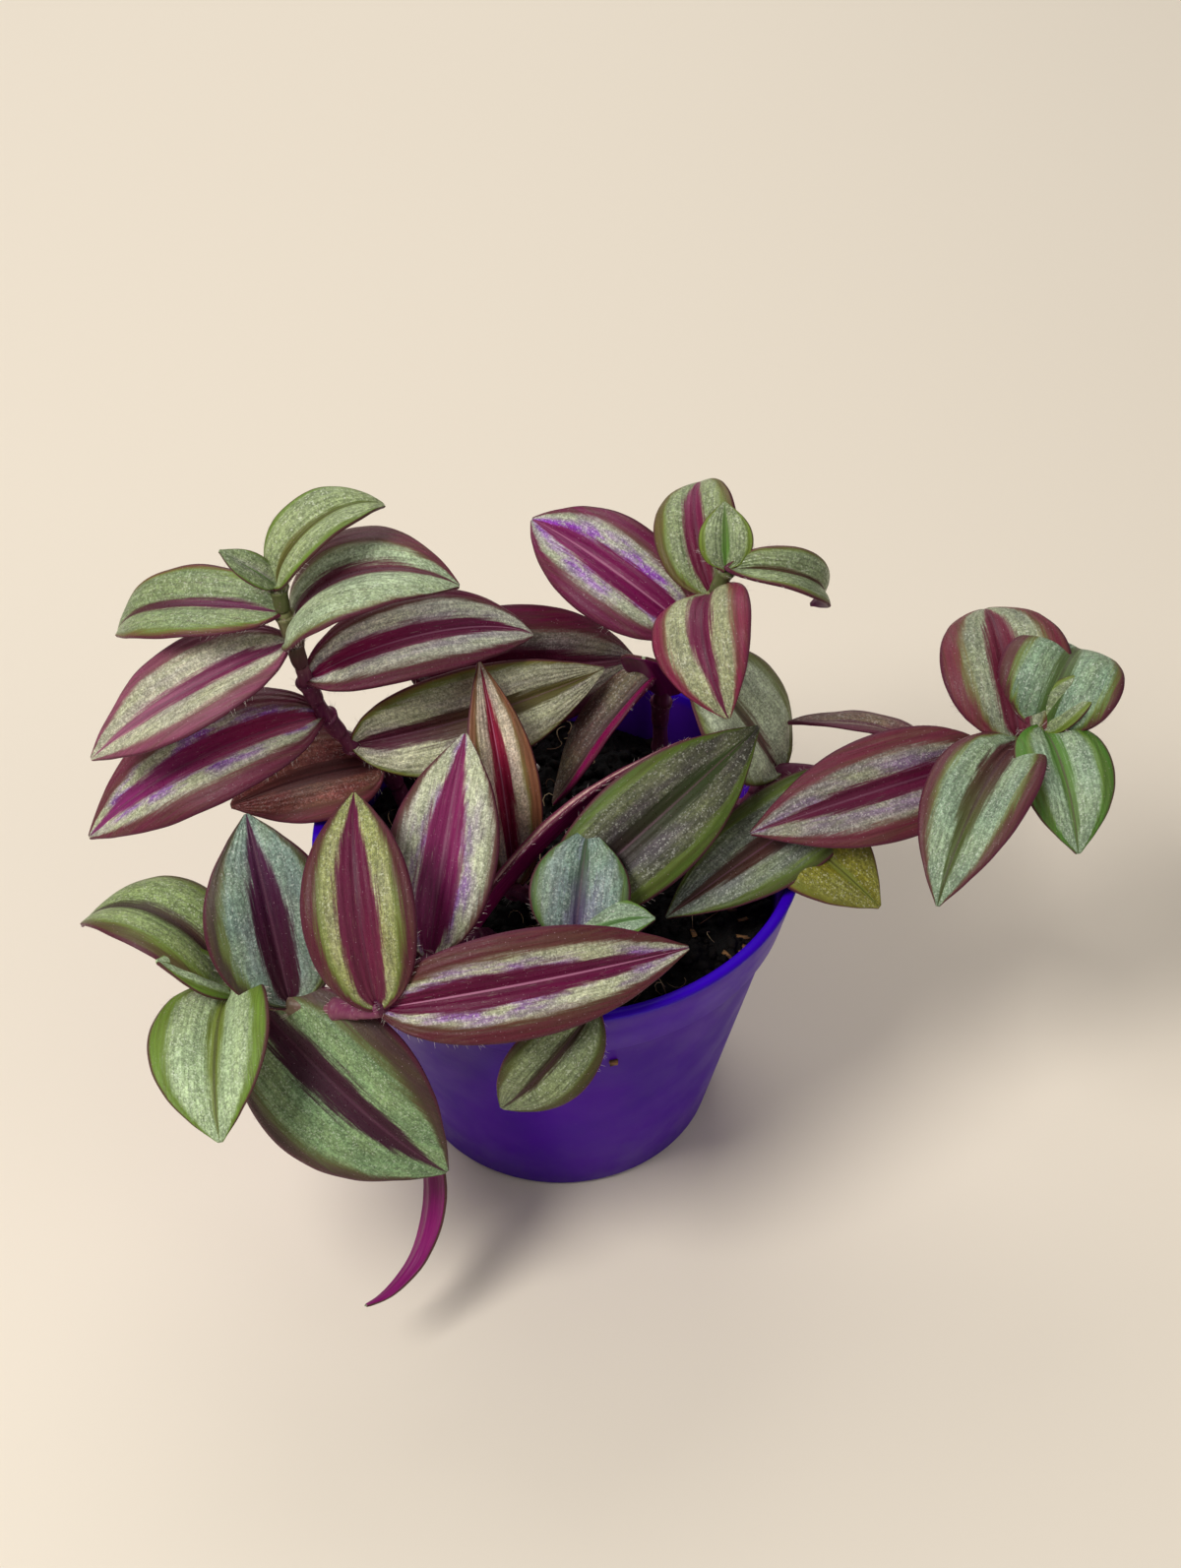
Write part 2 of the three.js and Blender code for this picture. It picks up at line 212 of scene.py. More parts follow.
def drain_cutter():
    bm = bmesh.new()
    for k in range(DRAIN_HOLES):
        angle = 2 * math.pi * k / DRAIN_HOLES
        middle = (DRAIN_CIRCLE * math.cos(angle), DRAIN_CIRCLE * math.sin(angle), POT_FLOOR / 2)
        bmesh.ops.create_cone(bm, cap_ends=True, segments=24, radius1=DRAIN_RADIUS,
                              radius2=DRAIN_RADIUS, depth=3 * POT_FLOOR, matrix=Matrix.Translation(middle))
    return mesh_object("drain_cutter", bm)


def cut_holes(piece, cutter):
    """Cuts the drain holes through the pot's floor and takes the cutter away."""
    modifier = piece.modifiers.new("drain holes", "BOOLEAN")
    modifier.object = cutter
    modifier.operation = "DIFFERENCE"
    modifier.solver = "EXACT"
    evaluated = piece.evaluated_get(bpy.context.evaluated_depsgraph_get())
    piece.data = bpy.data.meshes.new_from_object(evaluated)
    piece.modifiers.clear()
    bpy.data.objects.remove(cutter)


def pot_plastic():
    """Satin violet plastic: bluer on its lip, paler where it is rubbed, with a faint moulded grain."""
    finish, tree, shader = new_finish("pot_plastic", IOR=1.45, Specular_IOR_Level=0.07)
    place = on_piece(tree)
    height = add(tree, "SeparateXYZ", {0: place}).outputs[2]
    band_low, lip_low = (POT_HEIGHT - RIM_BAND) / 1000, (POT_HEIGHT - LIP) / 1000
    colour = tones(tree, grain(tree, place, 45, 4), 0.35, 0.7, VIOLETS)
    rubs = grain(tree, stretched(tree, place, (60, 60, 420)), 2.5, 3)
    colour = mix(tree, ramp(tree, rubs, 0.64, 0.82, 0.0, 0.12), colour, paint(RUBBED_VIOLET))
    band = ramp(tree, height, band_low - 0.0005, band_low + 0.0001, 0.0, 0.35)
    colour = mix(tree, band, colour, paint(BAND_VIOLET))
    lip = ramp(tree, height, lip_low - 0.0014, lip_low + 0.0003)
    colour = mix(tree, lip, colour, paint(LIP_VIOLET))
    dust = grain(tree, place, 900, 2)
    colour = mix(tree, ramp(tree, dust, 0.74, 0.82, 0.0, 0.2), colour, paint(POT_DUST))
    roughness = ramp(tree, grain(tree, place, 120, 5), 0.3, 0.7, 0.28, 0.44)
    fine = bumped(tree, grain(tree, place, 1600, 2), 0.00002, 0.5)
    wave = bumped(tree, grain(tree, place, 35, 1), 0.0004, 0.3, fine)
    drive(tree, shader, Base_Color=colour, Roughness=roughness, Normal=wave)
    return finish


pot = finish_piece("nursery_pot", pot_mesh(), [pot_plastic()], "pot")
cut_holes(pot, drain_cutter())


# ---- soil ----
# Dark potting soil fills the pot to a finger's width under the rim. It is loose, so crumbs, bark,
# a few white perlite grains and pale root fibres lie on top, pressed into it by watering.

SOIL_TOP = 58
SOIL_LOW = POT_FLOOR + 0.3
SOIL_GAP = 0.35  # between the soil and the pot's wall
SOIL_SWELL = 0.9  # heights of the broad swells and of the lumps on them
SOIL_LUMP = 0.7
SOIL_FALL = 1.2  # how much lower the soil is at the wall
SOIL_CELLS = 150
SOIL_SEED = 11
CLOD_HEIGHT = 0.9
CLOD_PITCH = 0.16
GRIT_HEIGHT = 0.75
GRIT_PITCH = 0.45
CRUMBS = 1700
CRUMB_SIZES = (0.35, 0.5, 0.5, 0.7, 0.9, 1.3)
BROKEN = 0.35  # how far noise breaks up a crumb, chip or grain
PERLITE = 12
RESTING = 0.7  # height of the middle of a chip or grain over the even top of the soil
BARK_CHIPS = 15
HEAPED_CHIPS = 9  # of them, and the place round which these lie
HEAP = (30, -14)
STUCK_ANGLE = -75.8  # of the bit of bark on the wall, in degrees round the pot
STUCK_HEIGHT = 49.4
STUCK_SIZE = (0.7, 1.5, 1.2)
FIBRES = 90
FIBRE_STEPS = 6
FIBRE_SIDES = 4
LONG_FIBRES = (((12, -22), (20, -34)), ((20, -20), (13, -33)), ((8, -31), (19, -24)))
LONG_FIBRE_STEPS = 8
PACKED_BROWNS = ("040303", "120c09")
LOOSE_BROWNS = ("060404", "1c140f")
SOIL_SPECK = "4a382a"
BARK_BROWNS = ("3b2415", "8a6236")
PERLITE_WHITES = ("b9b4a6", "e9e6dc")
FIBRE_BROWNS = ("6a4a2c", "cbb489")


def soil_height(x, y):
    """The even top of the soil, without its clods and grit."""
    edge = math.hypot(x, y) / inner_radius(SOIL_TOP)
    broad = SOIL_SWELL * math.sin(0.21 * x + 1) * math.cos(0.17 * y)
    lumps = SOIL_LUMP * math.sin(0.63 * x - 0.4 * y) * math.cos(0.52 * y + 0.3 * x)
    return SOIL_TOP + broad + lumps - SOIL_FALL * edge ** 4


def soil_mesh():
    """A square grid drawn out into a disc, raised by formula, with its border taken down the wall."""
    bm = bmesh.new()
    bmesh.ops.create_grid(bm, x_segments=SOIL_CELLS, y_segments=SOIL_CELLS, size=1)
    reach = inner_radius(SOIL_TOP - 4) - SOIL_GAP
    border = [edge for edge in bm.edges if edge.is_boundary]
    for vert in bm.verts:
        a, b = vert.co.x, vert.co.y
        x, y = reach * a * math.sqrt(1 - b * b / 2), reach * b * math.sqrt(1 - a * a / 2)
        grit = noise.fractal((GRIT_PITCH * x, GRIT_PITCH * y, 3), 0.7, 2.1, 5)
        clod = noise.noise((CLOD_PITCH * x, CLOD_PITCH * y, 9))
        vert.co = (x, y, soil_height(x, y) + GRIT_HEIGHT * grit + CLOD_HEIGHT * clod)
    wall = bmesh.ops.extrude_edge_only(bm, edges=border)["geom"]
    low = [vert for vert in wall if isinstance(vert, bmesh.types.BMVert)]
    for vert in low:
        shrink = (inner_radius(SOIL_LOW) - SOIL_GAP) / math.hypot(vert.co.x, vert.co.y)
        vert.co = (vert.co.x * shrink, vert.co.y * shrink, SOIL_LOW)
    bmesh.ops.contextual_create(bm, geom=[edge for edge in bm.edges if edge.is_boundary])
    bmesh.ops.recalc_face_normals(bm, faces=bm.faces)
    return bm


def soil_finish(name, browns, wet):
    """Peaty soil: near black with browner grains, damp enough to glint."""
    finish, tree, shader = new_finish(name, IOR=1.4, Specular_IOR_Level=0.25)
    place = on_piece(tree)
    grit = grain(tree, place, 900, 6, 0.7)
    colour = tones(tree, grit, 0.42, 0.72, browns)
    bits = grain(tree, place, 2200, 2)
    colour = mix(tree, ramp(tree, bits, 0.68, 0.75, 0.0, 0.5), colour, paint(SOIL_SPECK))
    roughness = ramp(tree, grit, 0.3, 0.8, wet, 0.95)
    drive(tree, shader, Base_Color=colour, Roughness=roughness, Normal=bumped(tree, grit, 0.0008, 0.8))
    return finish


def scatter(rng, count, reach):
    """Places spread evenly over the soil's top."""
    for _ in range(count):
        radius, angle = reach * math.sqrt(rng.random()), 2 * math.pi * rng.random()
        yield radius * math.cos(angle), radius * math.sin(angle)


def placed(place, turn, size):
    return Matrix.Translation(place) @ turn @ Matrix.Diagonal((*size, 1))


def tumbled(rng):
    angle = rng.uniform(0, 2 * math.pi)
    return Matrix.Rotation(angle, 4, Vector((rng.uniform(-1, 1), rng.uniform(-1, 1), 1)))


def break_up(verts, pitch, size=1):
    """Pushes each point of a too even shape a little aside by noise."""
    for vert in verts:
        vert.co += Vector(noise.noise_vector(vert.co * pitch)) * BROKEN * size


def crumbs_mesh(rng):
    bm = bmesh.new()
    for x, y in scatter(rng, CRUMBS, inner_radius(SOIL_TOP) - 1.4):
        size = rng.choice(CRUMB_SIZES)
        shape = (size * rng.uniform(0.7, 1.3), size * rng.uniform(0.7, 1.3), size * rng.uniform(0.5, 0.9))
        place = (x, y, soil_height(x, y) + 0.3 * size + rng.uniform(-0.2, 0.3))
        matrix = placed(place, tumbled(rng), shape)
        made = bmesh.ops.create_icosphere(bm, subdivisions=1, radius=1, matrix=matrix)
        break_up(made["verts"], 1.7, size)
    return bm


def add_chip(bm, matrix):
    """One chip, with each of its faces cut in four so that it can be broken up."""
    made = bmesh.ops.create_cube(bm, size=1, matrix=matrix)
    edges = {edge for vert in made["verts"] for edge in vert.link_edges}
    bmesh.ops.subdivide_edges(bm, edges=list(edges), cuts=1, use_grid_fill=True)


def bark_mesh(rng):
    """Broken bark: thin chips, most of them together at the front right of the soil, and one bit
    that has dried onto the front of the wall."""
    bm = bmesh.new()
    for k, (x, y) in enumerate(scatter(rng, BARK_CHIPS, inner_radius(SOIL_TOP) - 4)):
        if k < HEAPED_CHIPS:
            x, y = HEAP[0] + rng.uniform(-6, 5), HEAP[1] + rng.uniform(-7, 7)
        size = (rng.uniform(1.4, 3.2), rng.uniform(0.5, 1.1), rng.uniform(0.25, 0.5))
        turn = Matrix.Rotation(rng.uniform(0, math.pi), 4, "Z")
        tilt = Matrix.Rotation(rng.uniform(-0.5, 0.5), 4, "Y")
        add_chip(bm, placed((x, y, soil_height(x, y) + RESTING), turn @ tilt, size))
    angle = math.radians(STUCK_ANGLE)
    out = body_radius(STUCK_HEIGHT) + 0.2
    stuck = (out * math.cos(angle), out * math.sin(angle), STUCK_HEIGHT)
    add_chip(bm, placed(stuck, Matrix.Rotation(angle, 4, "Z"), STUCK_SIZE))
    break_up(bm.verts, 0.9)
    return bm


def bark_finish():
    finish, tree, shader = new_finish("bark", Roughness=0.85)
    fibres = grain(tree, stretched(tree, on_piece(tree), (300, 1500, 900)), 1, 4)
    drive(tree, shader, Base_Color=tones(tree, fibres, 0.3, 0.7, BARK_BROWNS),
          Normal=bumped(tree, fibres, 0.0004))
    return finish


def perlite_mesh(rng):
    bm = bmesh.new()
    for x, y in scatter(rng, PERLITE, inner_radius(SOIL_TOP) - 4):
        size = rng.uniform(0.35, 0.8)
        matrix = Matrix.Translation((x, y, soil_height(x, y) + RESTING + 0.2 * size))
        made = bmesh.ops.create_icosphere(bm, subdivisions=2, radius=size, matrix=matrix)
        break_up(made["verts"], 2.1, size)
    return bm


def perlite_finish():
    finish, tree, shader = new_finish("perlite", Roughness=0.8)
    pores = grain(tree, on_piece(tree), 2500, 3)
    drive(tree, shader, Base_Color=tones(tree, pores, 0.35, 0.6, PERLITE_WHITES),
          Normal=bumped(tree, pores, 0.0002))
    return finish


def wrap_round(bm, verts, centre_of, radius_of, rows):
    """Bends a flat strip, x along the curve and y round it, into a tube that follows the curve."""
    side = Vector((1, 0, 0))
    frames = []
    for k in range(rows + 1):
        centre = centre_of(k / rows)
        ahead = (centre_of(min(1, (k + 0.5) / rows)) - centre_of(max(0, (k - 0.5) / rows))).normalized()
        side = (side - ahead * side.dot(ahead)).normalized()
        frames.append((centre, side, ahead.cross(side)))
    for vert in verts:
        along, turn = (vert.co.x + 1) / 2, math.pi * vert.co.y
        centre, out, across = frames[round(along * rows)]
        vert.co = centre + (out * math.cos(turn) + across * math.sin(turn)) * radius_of(along)
    bmesh.ops.remove_doubles(bm, verts=verts, dist=0.0005)


def tube(bm, rows, sides, centre_of, radius_of):
    """A tube with closed ends, whose centre and radius are worked out from 0 to 1 along it."""
    made = bmesh.ops.create_grid(bm, x_segments=rows, y_segments=sides, size=1)["verts"]
    wrap_round(bm, made, centre_of, radius_of, rows)
    ends = {edge for vert in made if vert.is_valid for edge in vert.link_edges if edge.is_boundary}
    bmesh.ops.holes_fill(bm, edges=list(ends), sides=0)


def thread(bm, points, radius):
    """A thin round thread through the points, thinner towards its far end."""
    last = len(points) - 1

    def centre_of(u):
        k = min(int(u * last), last - 1)
        return points[k].lerp(points[k + 1], u * last - k)

    tube(bm, last, FIBRE_SIDES, centre_of, lambda u: radius * (1 - 0.7 * u))


def fibres_mesh(rng):
    """Loose root fibres: short curls all over, and three longer ones that arch near the front."""
    bm = bmesh.new()
    for x, y in scatter(rng, FIBRES, inner_radius(SOIL_TOP) - 3):
        heading, bend = rng.uniform(0, 2 * math.pi), rng.uniform(-0.9, 0.9)
        stride = rng.uniform(2, 7) / FIBRE_STEPS
        rise = rng.uniform(0.2, 1.4)
        points = []
        for k in range(FIBRE_STEPS + 1):
            z = soil_height(x, y) + 0.8 + rise * math.sin(math.pi * k / FIBRE_STEPS)
            points.append(Vector((x, y, z)))
            x += stride * math.cos(heading)
            y += stride * math.sin(heading)
            heading += bend
            if math.hypot(x, y) > inner_radius(SOIL_TOP) - 0.8:
                x, y = points[-1].x, points[-1].y
                heading += 2
        thread(bm, points, rng.uniform(0.06, 0.13))
    for start, end in LONG_FIBRES:
        points = []
        for k in range(LONG_FIBRE_STEPS + 1):
            share = k / LONG_FIBRE_STEPS
            x = start[0] + (end[0] - start[0]) * share + 1.2 * math.sin(3 * share)
            y = start[1] + (end[1] - start[1]) * share
            points.append(Vector((x, y, soil_height(x, y) + 0.9 + 2.2 * math.sin(math.pi * share))))
        thread(bm, points, 0.1)
    return bm


def fibre_finish():
    finish, tree, shader = new_finish("root_fibre", Roughness=0.7)
    patches = grain(tree, on_piece(tree), 180, 2)
    drive(tree, shader, Base_Color=tones(tree, patches, 0.4, 0.6, FIBRE_BROWNS))
    return finish


noise.seed_set(SOIL_SEED)  # or the noise that breaks up the crumbs would change from run to run
soil_rng = random.Random(SOIL_SEED)
packed_soil = soil_finish("soil", PACKED_BROWNS, 0.5)
loose_soil = soil_finish("soil_crumb", LOOSE_BROWNS, 0.6)
finish_piece("potting_soil", soil_mesh(), [packed_soil], "soil")
finish_piece("soil_crumbs", crumbs_mesh(soil_rng), [loose_soil])
finish_piece("bark_chips", bark_mesh(soil_rng), [bark_finish()])
finish_piece("perlite_grains", perlite_mesh(soil_rng), [perlite_finish()])
finish_piece("root_fibres", fibres_mesh(soil_rng), [fibre_finish()])


# ---- stems ----
# Six fleshy stems stand in the soil and bend at each node, where a thin sheath wraps the stem
# below the leaf. They are mauve and smooth, and greener towards their tips.

STEM_DEPTH = 13
FOOT_HEIGHTS = (-STEM_DEPTH, -STEM_DEPTH / 2, 1.5)  # of a stem's first knots, over the soil's top
STEM_RADIUS = 1.6
STEM_TIP_RADIUS = 1.1
STEM_STEPS = 12  # rings from one node to the next
STEM_SIDES = 20
NODE_SWELL = 0.35
NODE_SPAN = 0.13  # of a swelling, as a share of the way to the next node
SHEATH_LONG = 6
SHEATH_ROOM = 0.28
SHEATH_ROWS = 8
YOUNG_REACH = 22  # how far down from its tip a stem is greenish
STEM_MAUVES = ("642446", "7a3858")
STEM_GREEN = "7f8a55"
STREAK_MAUVE = "94666e"
STREAK_GREEN = "a3ab78"
STEM_SPECK = "b08a92"


def leaf_at(at, look, aim, droop, size, cup, curl=0):
    """A leaf that grows at a point of its stem's path, with its colours named by its look. Its aim is
    its heading in plan, the slope at which it leaves the stem, and its turn about its own midrib. It
    bends down by droop all along and by curl near its tip, and cup lifts its halves, in degrees."""
    heading, rise, roll = aim
    long, wide = size
    return dict(at=at, look=look, heading=heading, rise=rise, roll=roll, droop=droop, curl=curl,
                long=long, wide=wide, cup=cup)


# Each shoot's foot on the soil, its stem's path from there to its tip, and its leaves.
SHOOTS = {
    "left": dict(
        foot=(-29.5, 16),
        path=[(-33, 16, 69), (-38, 13.5, 77), (-42, 11.5, 86), (-44.5, 10, 96), (-46, 9, 106),
              (-47, 8.5, 113), (-47.5, 8.5, 119)],
        leaves=[
            leaf_at(0, "dusky", aim=(-152, 20, -20), droop=45, size=(30, 20), cup=10),
            leaf_at(1, "olive_edged", aim=(-13, 23, 70), droop=50, size=(50, 20), cup=15),
            leaf_at(2, "plum", aim=(-157, 5, -16), droop=61, size=(52, 22), cup=11),
            leaf_at(3, "magenta_rib", aim=(-3, 39, 32), droop=88, curl=12, size=(48, 17), cup=13),
            leaf_at(4, "pink", aim=(-160, -10, -15), droop=35, size=(43, 19), cup=15),
            leaf_at(4, "maroon_top", aim=(-12, 84, 13), droop=123, size=(39, 24), cup=8),
            leaf_at(5, "green_purple", aim=(175, 10, -20), droop=50, curl=40, size=(39, 15), cup=15),
            leaf_at(6, "young_arched", aim=(1, 82, 30), droop=109, curl=17, size=(28, 13), cup=20),
            leaf_at(6, "young_tip", aim=(180, 45, -35), droop=20, size=(12, 6), cup=30),
        ]),
    "tall": dict(
        foot=(19, 24),
        path=[(19, 24, 66), (19, 24, 78), (20.5, 23, 88), (24, 21, 98), (27.5, 19, 108), (29.5, 19, 114)],
        leaves=[
            leaf_at(1, "magenta_back", aim=(-106, 66, 0), droop=15, size=(27, 14), cup=20),
            leaf_at(2, "brown_grey", aim=(-148, -35, 20), droop=10, size=(34, 16), cup=40),
            leaf_at(3, "violet_flushed", aim=(155, 31, -35), droop=38, curl=27, size=(40, 20), cup=8),
            leaf_at(4, "olive_maroon", aim=(125, 56, -44), droop=82, curl=24, size=(28, 16), cup=10),
            leaf_at(4, "mauve_maroon", aim=(-116, 38, 35), droop=120, size=(31, 19), cup=6),
            leaf_at(5, "green_trough", aim=(-11, 16, 29), droop=110, curl=37, size=(29, 10), cup=40),
            leaf_at(5, "young_green", aim=(95, 65, -5), droop=20, size=(12, 10), cup=15),
        ]),
    "right": dict(
        foot=(32, 3),
        path=[(34.5, 3.5, 71), (40, 7, 76), (56, 5.5, 76), (70, 6, 79), (78, 6, 81), (83, 6.5, 84),
              (87, 8, 86)],
        leaves=[
            leaf_at(0, "yellow_green", aim=(-55, 22, 25), droop=75, size=(33, 19), cup=12),
            leaf_at(1, "pale_grey", aim=(160, 59, -8), droop=15, size=(31, 25), cup=8),
            leaf_at(2, "brown_centre", aim=(-140, 0, -25), droop=30, size=(46, 18), cup=12),
            leaf_at(3, "dusty_mauve", aim=(160, 25, 30), droop=35, size=(30, 13), cup=25),
            leaf_at(4, "lavender", aim=(-150, 10, -35), droop=30, size=(48, 20), cup=8),
            leaf_at(5, "broad_maroon", aim=(106, 54, -12), droop=71, curl=25, size=(33, 24), cup=7),
            leaf_at(5, "olive_silver", aim=(-121, 24, 6), droop=65, curl=10, size=(41, 20), cup=17),
            leaf_at(6, "teal_green", aim=(52, 80, 10), droop=118, curl=25, size=(23, 23), cup=8),
            leaf_at(6, "bright_green", aim=(-80, 19, 0), droop=74, size=(27, 18), cup=14),
            leaf_at(6, "young_green", aim=(0, 66, 30), droop=45, size=(15, 9), cup=14),
        ]),
    "centre": dict(
        foot=(-6, -8),
        path=[(-8, -9, 62), (-1, -21, 69), (3, -30, 70.5), (6.5, -43, 70)],
        leaves=[
            leaf_at(0, "red_tan", aim=(101, 72, 8), droop=32, size=(43, 14), cup=28),
            leaf_at(1, "grey_green", aim=(20, 40, 45), droop=35, size=(50, 21), cup=12),
            leaf_at(2, "blue_grey", aim=(80, 55, 5), droop=40, size=(21, 18), cup=10),
            leaf_at(2, "silver_green", aim=(-1, 52, 7), droop=53, curl=8, size=(16, 11), cup=14),
            leaf_at(3, "dark_olive", aim=(-130, -30, -40), droop=60, size=(28, 15), cup=12),
        ]),
    "front": dict(
        foot=(-11, -20),
        path=[(-15, -25, 67), (-22, -34.5, 71.5), (-30, -45, 71.5), (-38, -40.5, 66), (-46, -38, 64),
              (-53, -35, 62.5), (-57, -33.5, 62.5)],
        leaves=[
            leaf_at(0, "edge_on", aim=(49, 32, -57), droop=28, size=(53, 14), cup=32),
            leaf_at(1, "deep_magenta", aim=(80, 45, 0), droop=25, size=(41, 20), cup=12),
            leaf_at(2, "bold_magenta", aim=(-9, 22, 50), droop=55, size=(56, 19), cup=15),
            leaf_at(2, "maroon_lime", aim=(134, 76, -44), droop=80, size=(40, 20), cup=12),
            leaf_at(3, "magenta_back", aim=(-12, -60, -55), droop=15, curl=110, size=(69, 9), cup=25),
            leaf_at(4, "teal_purple", aim=(115, 71, -10), droop=35, size=(35, 24), cup=15),
            leaf_at(5, "big_dark", aim=(-43, -22, 47), droop=16, curl=30, size=(47, 31), cup=6),
            leaf_at(6, "spring_green", aim=(-97, 23, 17), droop=62, size=(32, 24), cup=29),
            leaf_at(6, "green_curled", aim=(130, 62, 30), droop=111, curl=17, size=(37, 22), cup=10),
            leaf_at(6, "spring_green", aim=(-150, 60, -20), droop=25, size=(18, 10), cup=14),
        ]),
    "back": dict(
        foot=(-12, 27),
        path=[(-15, 28, 66), (-21, 28, 76), (-28, 26, 86), (-32, 27, 93)],
        leaves=[
            leaf_at(1, "plum", aim=(85, 5, 0), droop=50, size=(34, 18), cup=15),
            leaf_at(2, "muted_maroon", aim=(-16, 8, 58), droop=71, size=(47, 24), cup=12),
            leaf_at(3, "olive_silver", aim=(120, 20, 0), droop=50, size=(34, 17), cup=15),
        ]),
}


def knots(shoot):
    """The points that a stem runs through, from its buried end to its tip."""
    foot = [(*shoot["foot"], SOIL_TOP + height) for height in FOOT_HEIGHTS]
    return [Vector(point) for point in foot + shoot["path"]]


def node_of(leaf):
    """The number of the knot at which a leaf grows."""
    return leaf["at"] + len(FOOT_HEIGHTS)


def stem_point(points, along):
    """A centripetal curve through the points, at along from 0 to their number less one."""
    k = min(int(along), len(points) - 2)
    p1, p2 = points[k], points[k + 1]
    p0 = points[k - 1] if k else p1 * 2 - p2
    p3 = points[k + 2] if k + 2 < len(points) else p2 * 2 - p1
    t1 = (p1 - p0).length ** 0.5
    t2 = t1 + (p2 - p1).length ** 0.5
    t3 = t2 + (p3 - p2).length ** 0.5
    t = t1 + (t2 - t1) * (along - k)
    a1 = p0.lerp(p1, t / t1)
    a2 = p1.lerp(p2, (t - t1) / (t2 - t1))
    a3 = p2.lerp(p3, (t - t2) / (t3 - t2))
    b1 = a1.lerp(a2, t / t2)
    b2 = a2.lerp(a3, (t - t1) / (t3 - t1))
    return b1.lerp(b2, (t - t1) / (t2 - t1))


def stem_radius(along, points):
    """The stem thins to its tip and swells a little at each node above the soil."""
    radius = STEM_RADIUS + (STEM_TIP_RADIUS - STEM_RADIUS) * along / (len(points) - 1)
    if along <= len(FOOT_HEIGHTS) - 0.5:
        return radius
    return radius + NODE_SWELL * math.exp(-((along - round(along)) / NODE_SPAN) ** 2)


def add_sheath(bm, points, top):
    """A thin sleeve round the stem up to its node at top, with a slightly flared mouth."""
    span = (points[top] - points[top - 1]).length
    low = top - min(SHEATH_LONG / span, 0.85)
    flare = random.Random(top).uniform(0.1, 0.35)

    def sheath_radius(u):
        return stem_radius(low + (top - low) * u, points) + SHEATH_ROOM * min(1, 6 * u) + flare * u ** 3

    tube(bm, SHEATH_ROWS, STEM_SIDES, lambda u: stem_point(points, low + (top - low) * u), sheath_radius)


def stem_mesh(shoot):
    points = knots(shoot)
    last = len(points) - 1
    bm = bmesh.new()
    tube(bm, last * STEM_STEPS, STEM_SIDES, lambda u: stem_point(points, u * last),
         lambda u: stem_radius(u * last, points))
    for leaf in shoot["leaves"]:
        add_sheath(bm, points, node_of(leaf))
    young = bm.verts.layers.float.new("young")
    for vert in bm.verts:
        vert[young] = max(0, 1 - (vert.co - points[-1]).length / YOUNG_REACH)
    bmesh.ops.recalc_face_normals(bm, faces=bm.faces)
    return bm


def stem_finish():
    """Fleshy mauve stem, greener on its young parts, with fine upright streaks and pale specks."""
    finish, tree, shader = new_finish("stem_flesh", Roughness=0.4, IOR=1.42, Specular_IOR_Level=0.35)
    young = add(tree, "Attribute", attribute_name="young").outputs["Fac"]
    place = on_piece(tree)
    streaks = grain(tree, stretched(tree, place, (1400, 1400, 90)), 1, 3)
    colour = tones(tree, grain(tree, place, 70, 3), 0.4, 0.65, STEM_MAUVES)
    colour = mix(tree, young, colour, paint(STEM_GREEN))
    streak = mix(tree, young, paint(STREAK_MAUVE), paint(STREAK_GREEN))
    colour = mix(tree, ramp(tree, streaks, 0.45, 0.75, 0.0, 0.4), colour, streak)
    specks = add(tree, "TexVoronoi", {"Vector": place, "Scale": 900.0}).outputs["Distance"]
    colour = mix(tree, ramp(tree, specks, 0.22, 0.1, 0.0, 0.5), colour, paint(STEM_SPECK))
    drive(tree, shader, Base_Color=colour, Normal=bumped(tree, streaks, 0.0002, 0.6))
    return finish


stem_flesh = stem_finish()
for name, shoot in SHOOTS.items():
    finish_piece(f"stem_{name}", stem_mesh(shoot), [stem_flesh], f"shoot_{name}")


# ---- leaves ----
# Oval pointed leaves clasp the stem at their base. Each has a dark central stripe, a silver band on
# either side of it and coloured margins, all following its veins. Most undersides are magenta.

BLADE = 0.7  # thickness
BLADE_ROWS = 36
BLADE_COLUMNS = 18
ROOT_CROWDING = 1.15  # over 1, rows lie closer together at the base
TIP_CROWDING = 0.12  # over 0, and at the tip
MIDRIB_STEPS = 180
ROOT_HALF = 1.4  # least half width at the base, and at the tip
TIP_HALF = 0.3
OUTLINE_BASE = 0.6  # the smaller, the blunter that end of the outline
OUTLINE_TIP = 0.75
TIP_DRAW = 0.45  # how much the tip is drawn in to a point
TIP_POWER = 6
RIB_ROUND = 0.1
CUP_FADE = 0.55  # share of its cup that a leaf loses towards its tip
CLASP = 1.1  # radians by which a leaf's halves fold up round the stem
CLASP_REACH = 0.035
HALF_ARCH = 0.16  # how much each half of a leaf arches, as a share of its half width
EDGE_WAVE = 0.45
WAVE_PITCH = 0.1625
SEED_STEP = 20  # from one shoot's seed to the next, more than a shoot has leaves
SILVER_CAST = "7f8663"
VIOLET_FLUSH = "8e3cb4"
PAINTED_GLINT = "fbfdf2"
CENTRE_STREAKS = "3c1c20"
MARGIN_STREAKS = "54472c"
MARGIN_OLIVE = "6a8030"
HAIR_DOTS = "c9a9b4"
PALE_RIB = "c07c9c"
PAINTED_FURROW_SHADE = "2a0f1c"
EDGE_LINE = "521a30"
UNDER_PALE = "a03478"
UNDER_DARK = "560a34"
TINTS = ("centre", "far", "silver", "margin", "under")

